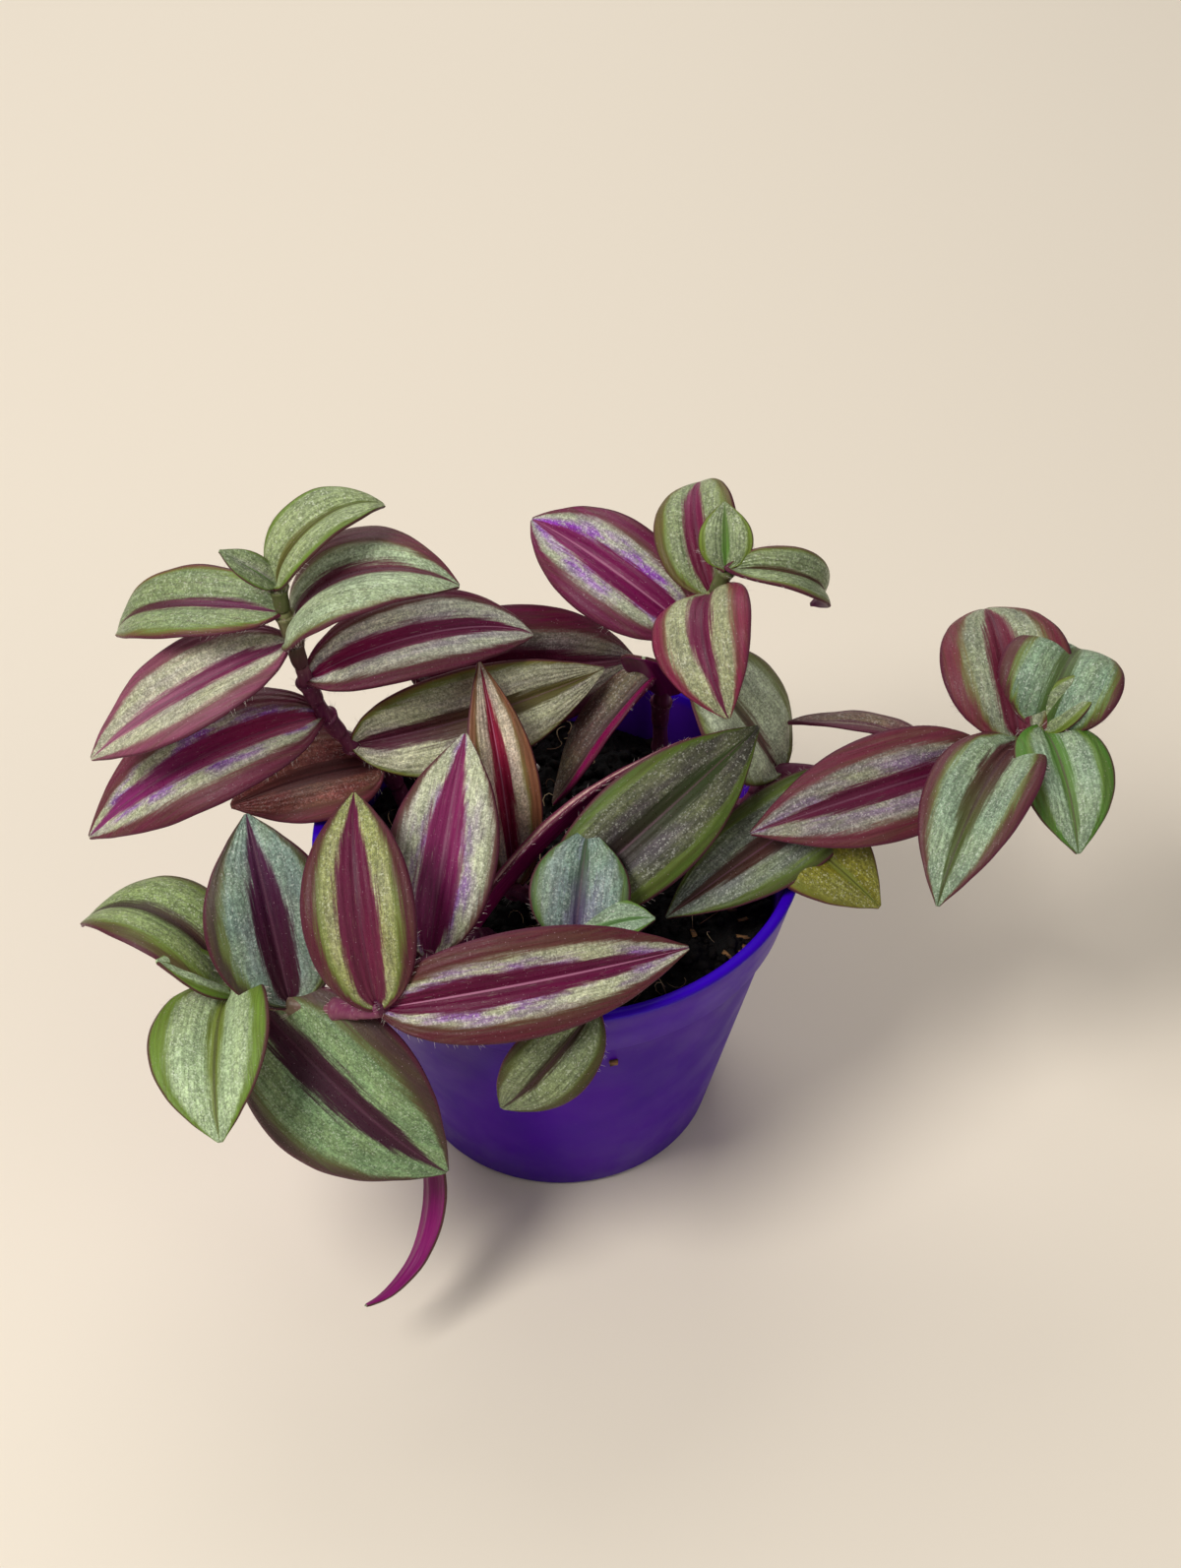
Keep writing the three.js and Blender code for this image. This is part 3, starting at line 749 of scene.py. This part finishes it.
# Each look's five colours, in the order of TINTS: the centre at the base and at the tip, the silver
# bands, the margins and the underside. Then the half width of the central stripe and where the right
# and left margins begin, as shares of the half width, with the tip ahead. Last, how strong the pale
# rib is, how much violet flushes the silver and how much olive lies inside the margins.
LOOKS = {
    "plum": ("860f48", "7a2260", "c2c6ac", "602038", "830e57", (0.31, 0.42, 0.6), 0.3, 0.9, 0.1),
    "pink": ("762650", "a2607c", "c8c8b2", "884a62", "830e57", (0.22, 0.58, 0.62), 0.2, 0.15, 0.15),
    "green_purple": ("66254a", "54332f", "8a9878", "6a4038", "743765", (0.17, 0.76, 0.74), 0.1, 0.0, 1.0),
    "young_tip": ("708f4f", "708f4f", "919e7e", "557136", "743787", (0.13, 0.81, 0.81), 0.0, 0.2, 0.5),
    "young_arched": ("6c6a34", "667438", "a6b28e", "5f7a30", "745656", (0.18, 0.8, 0.8), 0.0, 0.0, 0.6),
    "maroon_top": ("5e1a37", "5d2d36", "b4c2a6", "663040", "830e57", (0.2, 0.86, 0.4), 0.2, 0.0, 0.6),
    "magenta_rib": ("8a0e4e", "7a1c4e", "f6fae6", "661c3c", "830e57", (0.31, 0.62, 0.62), 1.0, 0.35, 0.2),
    "olive_edged": ("5a2137", "6f6a38", "d8dabe", "7c6a34", "830e57", (0.29, 0.84, 0.78), 0.3, 0.25, 0.8),
    "muted_maroon": ("6a123e", "62243e", "989188", "661d3d", "830e57", (0.34, 0.58, 0.58), 0.4, 0.1, 0.1),
    "dusky": ("693a3a", "72443e", "a2726f", "7a404a", "830e57", (0.26, 0.66, 0.66), 0.0, 0.0, 0.2),
    "violet_flushed": ("6c0c46", "700f4e", "b4b8a4", "62163e", "830e57", (0.34, 0.6, 0.58), 0.8, 1.0, 0.15),
    "olive_maroon": ("681f3a", "72234a", "8c9678", "605432", "830e57", (0.3, 0.68, 0.62), 0.2, 0.0, 0.9),
    "mauve_maroon": ("681f40", "681f40", "a6a88c", "7a2846", "830e57", (0.29, 0.62, 0.62), 0.1, 0.0, 0.3),
    "green_trough": ("5c4a34", "66463c", "9aa688", "684042", "652855", (0.16, 0.78, 0.78), 0.0, 0.0, 0.8),
    "young_green": ("5a8434", "60803a", "98a386", "72863a", "654656", (0.18, 0.74, 0.74), 0.0, 0.0, 0.6),
    "pale_grey": ("6e4d49", "778255", "d2dcc4", "717546", "830e57", (0.13, 0.7, 0.82), 0.0, 0.0, 0.5),
    "brown_grey": ("45262a", "543332", "65524c", "8c1258", "850f54", (0.24, 0.95, 0.5), 0.2, 0.0, 0.1),
    "broad_maroon": ("681f35", "6b2238", "9aa08d", "6e2e3c", "830e57", (0.31, 0.58, 0.58), 0.1, 0.0, 0.55),
    "teal_green": ("48602c", "5c6a44", "8a9e8a", "5c2e38", "652846", (0.2, 0.76, 0.64), 0.0, 0.0, 0.9),
    "bright_green": ("547c36", "5e7a3c", "a0b29c", "4f7832", "743756", (0.21, 0.58, 0.62), 0.3, 0.0, 0.6),
    "olive_silver": ("4e2a2c", "4c5a2c", "93a48f", "5a2c36", "830e57", (0.28, 0.64, 0.66), 0.1, 0.0, 0.7),
    "lavender": ("5c0a34", "581032", "929084", "66293a", "830e57", (0.26, 0.56, 0.6), 0.4, 0.4, 0.05),
    "dusty_mauve": ("5c2d41", "5c2d41", "785a5e", "5c2d3e", "742e4c", (0.26, 0.66, 0.66), 0.1, 0.0, 0),
    "brown_centre": ("3c1c22", "44291e", "757d70", "465422", "830e57", (0.31, 0.66, 0.68), 0.3, 0.1, 0.7),
    "yellow_green": ("6e6c26", "768030", "85824a", "6c6428", "79832e", (0.13, 0.76, 0.76), 0.0, 0.0, 0.6),
    # grey_green is partly the leaf's own dark colour and partly painted shade, for the shade it lies in.
    "grey_green": ("26101a", "34421c", "4b4c3f", "465a20", "830e57", (0.26, 0.68, 0.72), 0.2, 0.1, 0.55),
    "blue_grey": ("4a3b5e", "40583b", "7f9188", "3b5936", "830e57", (0.18, 0.78, 0.78), 0.1, 0.3, 0.5),
    "silver_green": ("54803d", "54803d", "97a994", "558032", "743756", (0.16, 0.7, 0.7), 0.0, 0.0, 0.7),
    "red_tan": ("7e103a", "901436", "e0d2c0", "84563f", "921354", (0.31, 0.56, 0.58), 0.8, 0.1, 0.6),
    "dark_olive": ("382a1e", "36241b", "7d876c", "3b371c", "830e57", (0.17, 0.7, 0.68), 0.1, 0.0, 0.35),
    "edge_on": ("8a3a5c", "8a3a5c", "d6b9b4", "7c3050", "850f54", (0.26, 0.56, 0.56), 0.5, 0.0, 0),
    "deep_magenta": ("7a1c56", "802658", "ccd0b8", "5b2b38", "830e57", (0.42, 0.82, 0.76), 0.4, 0.8, 0.15),
    "bold_magenta": ("600536", "620e3c", "ced0b6", "581b2b", "830e57", (0.36, 0.58, 0.54), 1.0, 0.8, 0.15),
    "maroon_lime": ("66203c", "621a3c", "a6aa7c", "541f30", "830e57", (0.42, 0.64, 0.6), 0.1, 0.1, 0.8),
    "magenta_back": ("57743a", "57743a", "9ca491", "57743a", "74085a", (0.13, 0.76, 0.76), 0.0, 0.0, 0.4),
    "teal_purple": ("3e1229", "48183c", "8c9f94", "40302c", "830e57", (0.33, 0.72, 0.66), 0.2, 0.1, 0.6),
    "big_dark": ("401c2e", "3d182b", "88a07e", "462e30", "830e57", (0.26, 0.7, 0.62), 0.2, 0.0, 0.45),
    "spring_green": ("78883a", "6f7c36", "bccdab", "6c8838", "743756", (0.16, 0.68, 0.68), 0.0, 0.0, 0.6),
    "green_curled": ("46302a", "46422e", "8e9e74", "54482f", "742855", (0.17, 0.74, 0.68), 0.0, 0.0, 1.0),
}


def outline(u):
    """The leaf's half width at u, from base to tip, as a share of its widest."""
    widest = OUTLINE_BASE / (OUTLINE_BASE + OUTLINE_TIP)
    egg = (u / widest) ** OUTLINE_BASE * ((1 - u) / (1 - widest)) ** OUTLINE_TIP
    return egg * (1 - TIP_DRAW * u ** TIP_POWER)


def half_width(leaf, u):
    least = ROOT_HALF + (TIP_HALF - ROOT_HALF) * u
    return max(leaf["wide"] / 2 * outline(u), least)


def leaf_axes(leaf):
    """The leaf's own directions at its base: along it, across it, and out of its upper face."""
    heading, rise = math.radians(leaf["heading"]), math.radians(leaf["rise"])
    along = Vector((math.cos(heading) * math.cos(rise), math.sin(heading) * math.cos(rise), math.sin(rise)))
    level = Vector((-math.sin(heading), math.cos(heading), 0))
    up = Matrix.Rotation(math.radians(leaf["roll"]), 3, along) @ along.cross(level)
    return along, up.cross(along), up


def midrib(leaf, base):
    """Midrib points with the leaf's directions there, bending towards its underside."""
    along, across, up = leaf_axes(leaf)
    droop, curl = math.radians(leaf["droop"]), math.radians(leaf["curl"])
    point = Vector(base)
    rib = []
    for k in range(MIDRIB_STEPS + 1):
        u = k / MIDRIB_STEPS
        bend = droop * u + curl * u ** 3
        forward = along * math.cos(bend) - up * math.sin(bend)
        rib.append((point.copy(), across, up * math.cos(bend) + along * math.sin(bend)))
        point += forward * leaf["long"] / MIDRIB_STEPS
    return rib


def blade_point(leaf, rib, u, v, seed):
    """A point of the leaf's middle sheet: u from base to tip, v from one margin to the other."""
    point, across, normal = rib[round(u * MIDRIB_STEPS)]
    half = half_width(leaf, u)
    fold = math.radians(leaf["cup"]) * (1 - CUP_FADE * u) + CLASP * math.exp(-u / CLASP_REACH)
    lift = (math.hypot(v, RIB_ROUND) - RIB_ROUND) * math.sin(fold)
    arch = HALF_ARCH * math.sin(math.pi * min(abs(v), 1)) * min(1, 6 * u, 2.6 * (1 - u))
    ripple = noise.noise((WAVE_PITCH * leaf["long"] * u, 1.5 * (v > 0), seed))
    wave = EDGE_WAVE * v * v * ripple * min(1, 5 * u)
    return point + across * (half * v * math.cos(fold)) + normal * (half * (lift + arch) + wave)


def row_place(share):
    """Where a row of the leaf's grid lies, from base to tip."""
    return share ** ROOT_CROWDING * (1 - TIP_CROWDING * share) / (1 - TIP_CROWDING)


def add_leaf(bm, leaf, base, seed):
    """A flat grid shaped into one leaf, with its look kept as attributes and its places as UVs."""
    rng = random.Random(seed)
    shade = rng.uniform(0.93, 1.07)
    rng.random()  # sets nothing, but each leaf keeps its streaks by the draw after it
    offset = rng.uniform(0, 90)
    *codes, bands, rib_pale, flush, olive = LOOKS[leaf["look"]]
    facts = {"bands": (*bands, 1), "extra": (rib_pale, flush, 0, olive)}
    for name, code in zip(TINTS, codes):
        facts[name] = [part * shade for part in paint(code)[:3]] + [1]
    blade_uv, skin_uv = bm.loops.layers.uv["blade"], bm.loops.layers.uv["skin"]
    verts = bmesh.ops.create_grid(bm, x_segments=BLADE_ROWS, y_segments=BLADE_COLUMNS, size=1)["verts"]
    places = {vert: (row_place((vert.co.x + 1) / 2), vert.co.y) for vert in verts}
    for face in {face for vert in verts for face in vert.link_faces}:
        for loop in face.loops:
            u, v = places[loop.vert]
            loop[blade_uv].uv = (u, (v + 1) / 2)
            loop[skin_uv].uv = (u * leaf["long"] + offset, half_width(leaf, u) * v)
    rib = midrib(leaf, base)
    for vert, (u, v) in places.items():
        vert.co = blade_point(leaf, rib, u, v, seed)
        for name, values in facts.items():
            vert[bm.verts.layers.float_color[name]] = values


def leaves_mesh(shoot, seed):
    bm = bmesh.new()
    for name in ("blade", "skin"):
        bm.loops.layers.uv.new(name)
    for name in (*TINTS, "bands", "extra"):
        bm.verts.layers.float_color.new(name)
    for k, leaf in enumerate(shoot["leaves"]):
        add_leaf(bm, leaf, shoot["path"][leaf["at"]], seed + k)
    return bm


def kept(tree, name):
    return add(tree, "Attribute", attribute_name=name).outputs["Color"]


def maths(tree, operation, *values):
    return add(tree, "Math", dict(enumerate(values)), operation=operation).outputs[0]


def plus(tree, first, second):
    return maths(tree, "ADD", first, second)


def less(tree, first, second):
    return maths(tree, "SUBTRACT", first, second)


def times(tree, first, second):
    return maths(tree, "MULTIPLY", first, second)


def leaf_upper_finish():
    """The striped upper face. The stripes follow the veins with ragged edges, the silver carries painted
    glitter cell by cell, the dark stripes carry brown streaks, and pale dots stand for short hairs."""
    finish, tree, shader = new_finish("leaf_upper", IOR=1.45, Specular_IOR_Level=0.3)
    place = add(tree, "UVMap", uv_map="blade").outputs[0]
    skin = add(tree, "UVMap", uv_map="skin").outputs[0]
    parts = add(tree, "SeparateXYZ", {0: place}).outputs
    u, across = parts[0], times(tree, less(tree, parts[1], 0.5), 2.0)
    edge = maths(tree, "ABSOLUTE", across)
    left = maths(tree, "GREATER_THAN", across, 0.0)
    bands = add(tree, "SeparateColor", {0: kept(tree, "bands")}).outputs
    extra = add(tree, "SeparateColor", {0: kept(tree, "extra")}).outputs
    rib_pale, flush = extra[0], extra[1]
    olive = add(tree, "Attribute", attribute_name="extra").outputs["Alpha"]

    # Streaks along the leaf, from broad to hair thin, shift the stripes' edges in and out.
    ragged = grain(tree, stretched(tree, skin, (0.07, 0.8, 1)), 1.0, 4, 0.6)
    fine = grain(tree, stretched(tree, skin, (0.14, 3.0, 1)), 1.0, 4, 0.65)
    hairline = grain(tree, stretched(tree, skin, (0.3, 7.5, 1)), 1.0, 3, 0.6)
    reach = plus(tree, edge, maths(tree, "MULTIPLY_ADD", ragged, 0.3, -0.15))
    reach = plus(tree, reach, maths(tree, "MULTIPLY_ADD", fine, 0.24, -0.12))
    narrow = maths(tree, "MULTIPLY_ADD", maths(tree, "POWER", u, 2.2), -0.5, 1.0)
    stripe = times(tree, bands[0], narrow)
    in_centre = ramp(tree, reach, plus(tree, stripe, 0.065), less(tree, stripe, 0.065))
    begin = mix(tree, left, bands[1], bands[2])
    begin = maths(tree, "MULTIPLY_ADD", maths(tree, "POWER", u, 3.0), 0.12, begin)
    in_margin = ramp(tree, reach, less(tree, begin, 0.08), plus(tree, begin, 0.08))

    # The silver: cells of differing brightness and pale specks, both painted glitter, a violet flush
    # beside the stripe, and dark lines.
    cells = add(tree, "TexVoronoi", {"Vector": skin, "Scale": 4.3}, feature="F1")
    groups = add(tree, "TexVoronoi", {"Vector": skin, "Scale": 2.3}, feature="F1")
    glint = add(tree, "SeparateColor", {0: cells.outputs["Color"]}).outputs[0]
    broad = add(tree, "SeparateColor", {0: groups.outputs["Color"]}).outputs[1]
    # Painted glitter: each cell of the silver is made brighter or darker, as if it caught the light.
    lit = times(tree, ramp(tree, glint, 0.0, 1.0, 0.68, 1.16), ramp(tree, broad, 0.0, 1.0, 0.8, 1.18))
    clouds = grain(tree, stretched(tree, skin, (0.06, 0.16, 1)), 1.7, 2)
    streaked = times(tree, ramp(tree, fine, 0.3, 0.7, 0.78, 1.14), ramp(tree, ragged, 0.3, 0.7, 0.86, 1.12))
    streaked = times(tree, streaked, ramp(tree, clouds, 0.34, 0.66, 0.82, 1.14))
    patches = grain(tree, stretched(tree, skin, (0.1, 0.22, 1)), 1.0, 2)
    cast = ramp(tree, patches, 0.35, 0.7, 0.0, 0.35)
    silver = mix(tree, cast, kept(tree, "silver"), paint(SILVER_CAST))
    silver = add(tree, "HueSaturation", {"Saturation": 1.3, "Color": silver}).outputs[0]
    bloom = ramp(tree, grain(tree, stretched(tree, skin, (0.07, 0.26, 1)), 1.3, 4, 0.6), 0.4, 0.62)
    beside = ramp(tree, less(tree, reach, stripe), 0.34, 0.04, 0.25, 1.0)
    bloom = times(tree, bloom, times(tree, beside, flush))
    silver = mix(tree, bloom, silver, paint(VIOLET_FLUSH))
    lines = ramp(tree, hairline, 0.56, 0.68, 0.0, 0.5)
    silver = mix(tree, lines, silver, mix(tree, 0.5, kept(tree, "margin"), kept(tree, "centre")))
    silver = mix(tree, 1.0, silver, times(tree, lit, streaked), "MULTIPLY")
    # Painted glints: near-white specks on the brightest cells of the silver.
    painted_glint = mix(tree, 0.36, kept(tree, "silver"), paint(PAINTED_GLINT))
    silver = mix(tree, ramp(tree, glint, 0.84, 0.97, 0.0, 0.5), silver, painted_glint)

    # The central stripe and the margins, with brown streaks and olive inside the margins.
    centre = mix(tree, ramp(tree, u, 0.15, 0.85), kept(tree, "centre"), kept(tree, "far"))
    centre = mix(tree, ramp(tree, fine, 0.52, 0.74, 0.0, 0.5), centre, paint(CENTRE_STREAKS))
    centre = mix(tree, 1.0, centre, ramp(tree, ragged, 0.3, 0.7, 0.78, 1.12), "MULTIPLY")
    centre = mix(tree, ramp(tree, hairline, 0.62, 0.74, 0.0, 0.4), centre, kept(tree, "silver"))
    browned = ramp(tree, ragged, 0.4, 0.65, 0.0, 0.35)
    margin = mix(tree, browned, kept(tree, "margin"), paint(MARGIN_STREAKS))
    margin = add(tree, "HueSaturation", {"Saturation": 1.08, "Color": margin}).outputs[0]
    inner = ramp(tree, less(tree, reach, begin), 0.16, 0.02)
    early = ramp(tree, u, 0.95, 0.35, 0.25, 1.0)
    greened = times(tree, times(tree, inner, early), olive)
    margin = mix(tree, greened, margin, paint(MARGIN_OLIVE))
    margin = mix(tree, 1.0, margin, ramp(tree, fine, 0.3, 0.7, 0.80, 1.14), "MULTIPLY")

    # All of them together, under the hair dots, the rib and the dark line along the edge.
    colour = mix(tree, in_centre, silver, centre)
    colour = mix(tree, times(tree, in_margin, 0.975), colour, margin)
    dots = add(tree, "TexVoronoi", {"Vector": skin, "Scale": 1.3}, feature="F1").outputs["Distance"]
    colour = mix(tree, ramp(tree, dots, 0.12, 0.05, 0.0, 0.5), colour, paint(HAIR_DOTS))
    rib = times(tree, ramp(tree, edge, 0.035, 0.01), rib_pale)
    colour = mix(tree, times(tree, rib, 0.65), colour, paint(PALE_RIB))
    # Painted shade: a dark line along the midrib's furrow, fainter where the rib is pale.
    furrow_shade = times(tree, ramp(tree, edge, 0.05, 0.015), less(tree, 1.0, rib_pale))
    colour = mix(tree, times(tree, furrow_shade, 0.45), colour, paint(PAINTED_FURROW_SHADE))
    colour = mix(tree, ramp(tree, edge, 0.91, 0.965, 0.0, 0.9), colour, paint(EDGE_LINE))

    in_silver = times(tree, less(tree, 1.0, in_centre), less(tree, 1.0, in_margin))
    rough = ramp(tree, in_silver, 0.0, 1.0, 0.42, 0.36)
    rough = plus(tree, rough, ramp(tree, glint, 0.75, 1.0, 0.05, -0.16))
    pebbles = bumped(tree, cells.outputs["Distance"], 0.00005, 0.8)
    veins = add(tree, "TexWave", {"Vector": stretched(tree, place, (0, 1, 0)), "Scale": 4.2,
                                  "Distortion": 0.0}, wave_type="BANDS", bands_direction="Y")
    ribbed = bumped(tree, veins.outputs["Fac"], 0.0002, 0.45, pebbles)
    drive(tree, shader, Base_Color=colour, Roughness=rough, Normal=bumped(tree, fine, 0.00016, 0.6, ribbed))
    return finish


def leaf_under_finish():
    """The underside: silky, with fine paler and darker lines along the veins."""
    finish, tree, shader = new_finish("leaf_under", Roughness=0.4, IOR=1.42, Specular_IOR_Level=0.3)
    skin = add(tree, "UVMap", uv_map="skin").outputs[0]
    fine = grain(tree, stretched(tree, skin, (0.1, 2.4, 1)), 1.0, 3)
    colour = mix(tree, ramp(tree, fine, 0.45, 0.75, 0.0, 0.3), kept(tree, "under"), paint(UNDER_PALE))
    colour = mix(tree, ramp(tree, fine, 0.5, 0.25, 0.0, 0.4), colour, paint(UNDER_DARK))
    drive(tree, shader, Base_Color=colour, Normal=bumped(tree, fine, 0.00015, 0.6))
    return finish


def thicken(piece):
    """Gives the leaf sheets their thickness, the underside's finish below, and rounded margins."""
    solid = piece.modifiers.new("thickness", "SOLIDIFY")
    solid.thickness = BLADE / 1000
    solid.offset = 0
    solid.material_offset = 1
    solid.material_offset_rim = 0
    round_off = piece.modifiers.new("soft margins", "SUBSURF")
    round_off.levels = round_off.render_levels = 1


leaf_finishes = [leaf_upper_finish(), leaf_under_finish()]
for number, (name, shoot) in enumerate(SHOOTS.items()):
    sheets = leaves_mesh(shoot, SEED_STEP * number)
    thicken(finish_piece(f"leaves_{name}", sheets, leaf_finishes, f"shoot_{name}"))


# ---- hairs ----
# Fine pale hairs stand along the margins near each leaf's base, round the top of each sheath, and
# along nearly the whole of one leaf. Each is a separate tapering bristle rooted in the skin.

HAIR_RADIUS = 0.04
HAIR_DEPTH = 0.45  # how far a hair's root lies inside the margin
HAIR_SPREAD = 0.45
MARGIN_HAIRS = (15, 0.3, 1.1)  # on each margin: how many, over how much of it, and the longest
HAIRY_MARGINS = {"edge_on": (70, 0.95, 1.8)}  # the same, for the one leaf with this look
SHEATH_HAIRS = 16
HAIR_TONES = ("b9a9a6", "f0e6dc")


def add_hair(bm, root, toward, length):
    turn = toward.to_track_quat("Z", "Y").to_matrix().to_4x4()
    place = Matrix.Translation(root + toward.normalized() * length / 2) @ turn
    bmesh.ops.create_cone(bm, cap_ends=False, segments=3, radius1=HAIR_RADIUS, radius2=HAIR_RADIUS / 4,
                          depth=length, matrix=place)


def margin_hair(bm, rng, leaf, rib, u, side, seed, longest):
    """One hair standing out of a margin, leaning towards the tip and a little off the sheet."""
    root = blade_point(leaf, rib, u, side * (1 - HAIR_DEPTH / half_width(leaf, u)), seed)
    edge = blade_point(leaf, rib, u, side, seed)
    step = round(u * MIDRIB_STEPS)
    ahead = rib[min(MIDRIB_STEPS, step + 2)][0] - rib[step][0]
    jitter = Vector((rng.uniform(-1, 1), rng.uniform(-1, 1), rng.uniform(-0.4, 1))) * HAIR_SPREAD
    toward = (edge - root).normalized() + ahead.normalized() * rng.uniform(0, 0.7) + jitter
    add_hair(bm, root, toward, longest * rng.uniform(0.5, 1) + HAIR_DEPTH)


def sheath_hairs(bm, rng, points, top):
    """A ring of hairs round the mouth of a sheath, pointing up the stem and outwards."""
    centre = stem_point(points, top - 0.02)
    ahead = (centre - stem_point(points, top - 0.2)).normalized()
    out = ahead.orthogonal().normalized()
    for _ in range(SHEATH_HAIRS):
        around = Matrix.Rotation(rng.uniform(0, 2 * math.pi), 3, ahead) @ out
        root = centre + around * (stem_radius(top, points) + SHEATH_ROOM)
        add_hair(bm, root, ahead + around * rng.uniform(0.3, 1.4), rng.uniform(0.9, 1.8))


def hairs_mesh(shoot, seed):
    bm = bmesh.new()
    rng = random.Random(seed)
    points = knots(shoot)
    for k, leaf in enumerate(shoot["leaves"]):
        rib = midrib(leaf, shoot["path"][leaf["at"]])
        count, reach, longest = HAIRY_MARGINS.get(leaf["look"], MARGIN_HAIRS)
        for side in (-1, 1):
            for _ in range(count):
                u = 0.03 + reach * rng.random()
                margin_hair(bm, rng, leaf, rib, u, side, seed + k, longest)
        sheath_hairs(bm, rng, points, node_of(leaf))
    return bm


def hair_finish():
    finish, tree, shader = new_finish("pale_hair", Roughness=0.5, Specular_IOR_Level=0.4)
    clouds = grain(tree, on_piece(tree), 300, 2)
    drive(tree, shader, Base_Color=mix(tree, clouds, paint(HAIR_TONES[0]), paint(HAIR_TONES[1])))
    return finish


pale_hair = hair_finish()
for number, (name, shoot) in enumerate(SHOOTS.items()):
    finish_piece(f"hairs_{name}", hairs_mesh(shoot, SEED_STEP * number), [pale_hair])


# ---- floor, light and camera ----
# The pot stands on a plain warm floor under soft studio light from the upper left, and the camera
# looks down at the plant at the photograph's angle.

FLOOR_REACH = 4000
FLOOR_CREAMS = ("e2d7c6", "e8dfd0")
LIGHT_AIM = (0, 0, 0.07)
ROOM_COLOUR = (1.0, 0.98, 0.95, 1)
ROOM_LIGHT = 0.22
CAMERA_PLACE = (0.0058, -0.3239, 0.4040)
CAMERA_SLOPE = 45
CAMERA_SENSOR = 36
PHOTO_HEIGHT = 1593
FOCAL_PIXELS = 2600


def floor_finish():
    finish, tree, shader = new_finish("floor", Roughness=0.9)
    clouds = grain(tree, on_piece(tree), 1.5, 2)
    drive(tree, shader, Base_Color=mix(tree, clouds, paint(FLOOR_CREAMS[0]), paint(FLOOR_CREAMS[1])))
    return finish


def studio_light(name, place, size, power, colour):
    data = bpy.data.lights.new(name, "AREA")
    data.shape = "DISK"
    data.size = size
    data.energy = power
    data.color = colour
    light = bpy.data.objects.new(name, data)
    light.location = place
    light.rotation_euler = (Vector(LIGHT_AIM) - Vector(place)).to_track_quat("-Z", "Y").to_euler()
    bpy.context.scene.collection.objects.link(light)


floor_mesh = bmesh.new()
bmesh.ops.create_grid(floor_mesh, x_segments=2, y_segments=2, size=FLOOR_REACH)
floor = mesh_object("floor", floor_mesh)
floor.data.materials.append(floor_finish())

studio_light("key", (-0.5, -0.35, 0.9), 0.45, 8.6, (1.0, 0.97, 0.93))
studio_light("fill", (0.7, -0.5, 0.6), 0.7, 1.4, (1.0, 0.97, 0.95))
studio_light("back", (-0.15, 0.75, 0.75), 0.8, 4.2, (1.0, 0.98, 0.95))

world = bpy.data.worlds.new("studio")
world.use_nodes = True
world.node_tree.nodes["Background"].inputs["Color"].default_value = ROOM_COLOUR
world.node_tree.nodes["Background"].inputs["Strength"].default_value = ROOM_LIGHT
bpy.context.scene.world = world
bpy.context.scene.view_settings.view_transform = "Standard"

camera_data = bpy.data.cameras.new("camera")
camera_data.sensor_fit = "VERTICAL"
camera_data.sensor_height = CAMERA_SENSOR
camera_data.lens = CAMERA_SENSOR * FOCAL_PIXELS / PHOTO_HEIGHT
camera = bpy.data.objects.new("camera", camera_data)
camera.location = CAMERA_PLACE
camera.rotation_euler = (math.radians(90 - CAMERA_SLOPE), 0, 0)
bpy.context.scene.collection.objects.link(camera)
bpy.context.scene.camera = camera
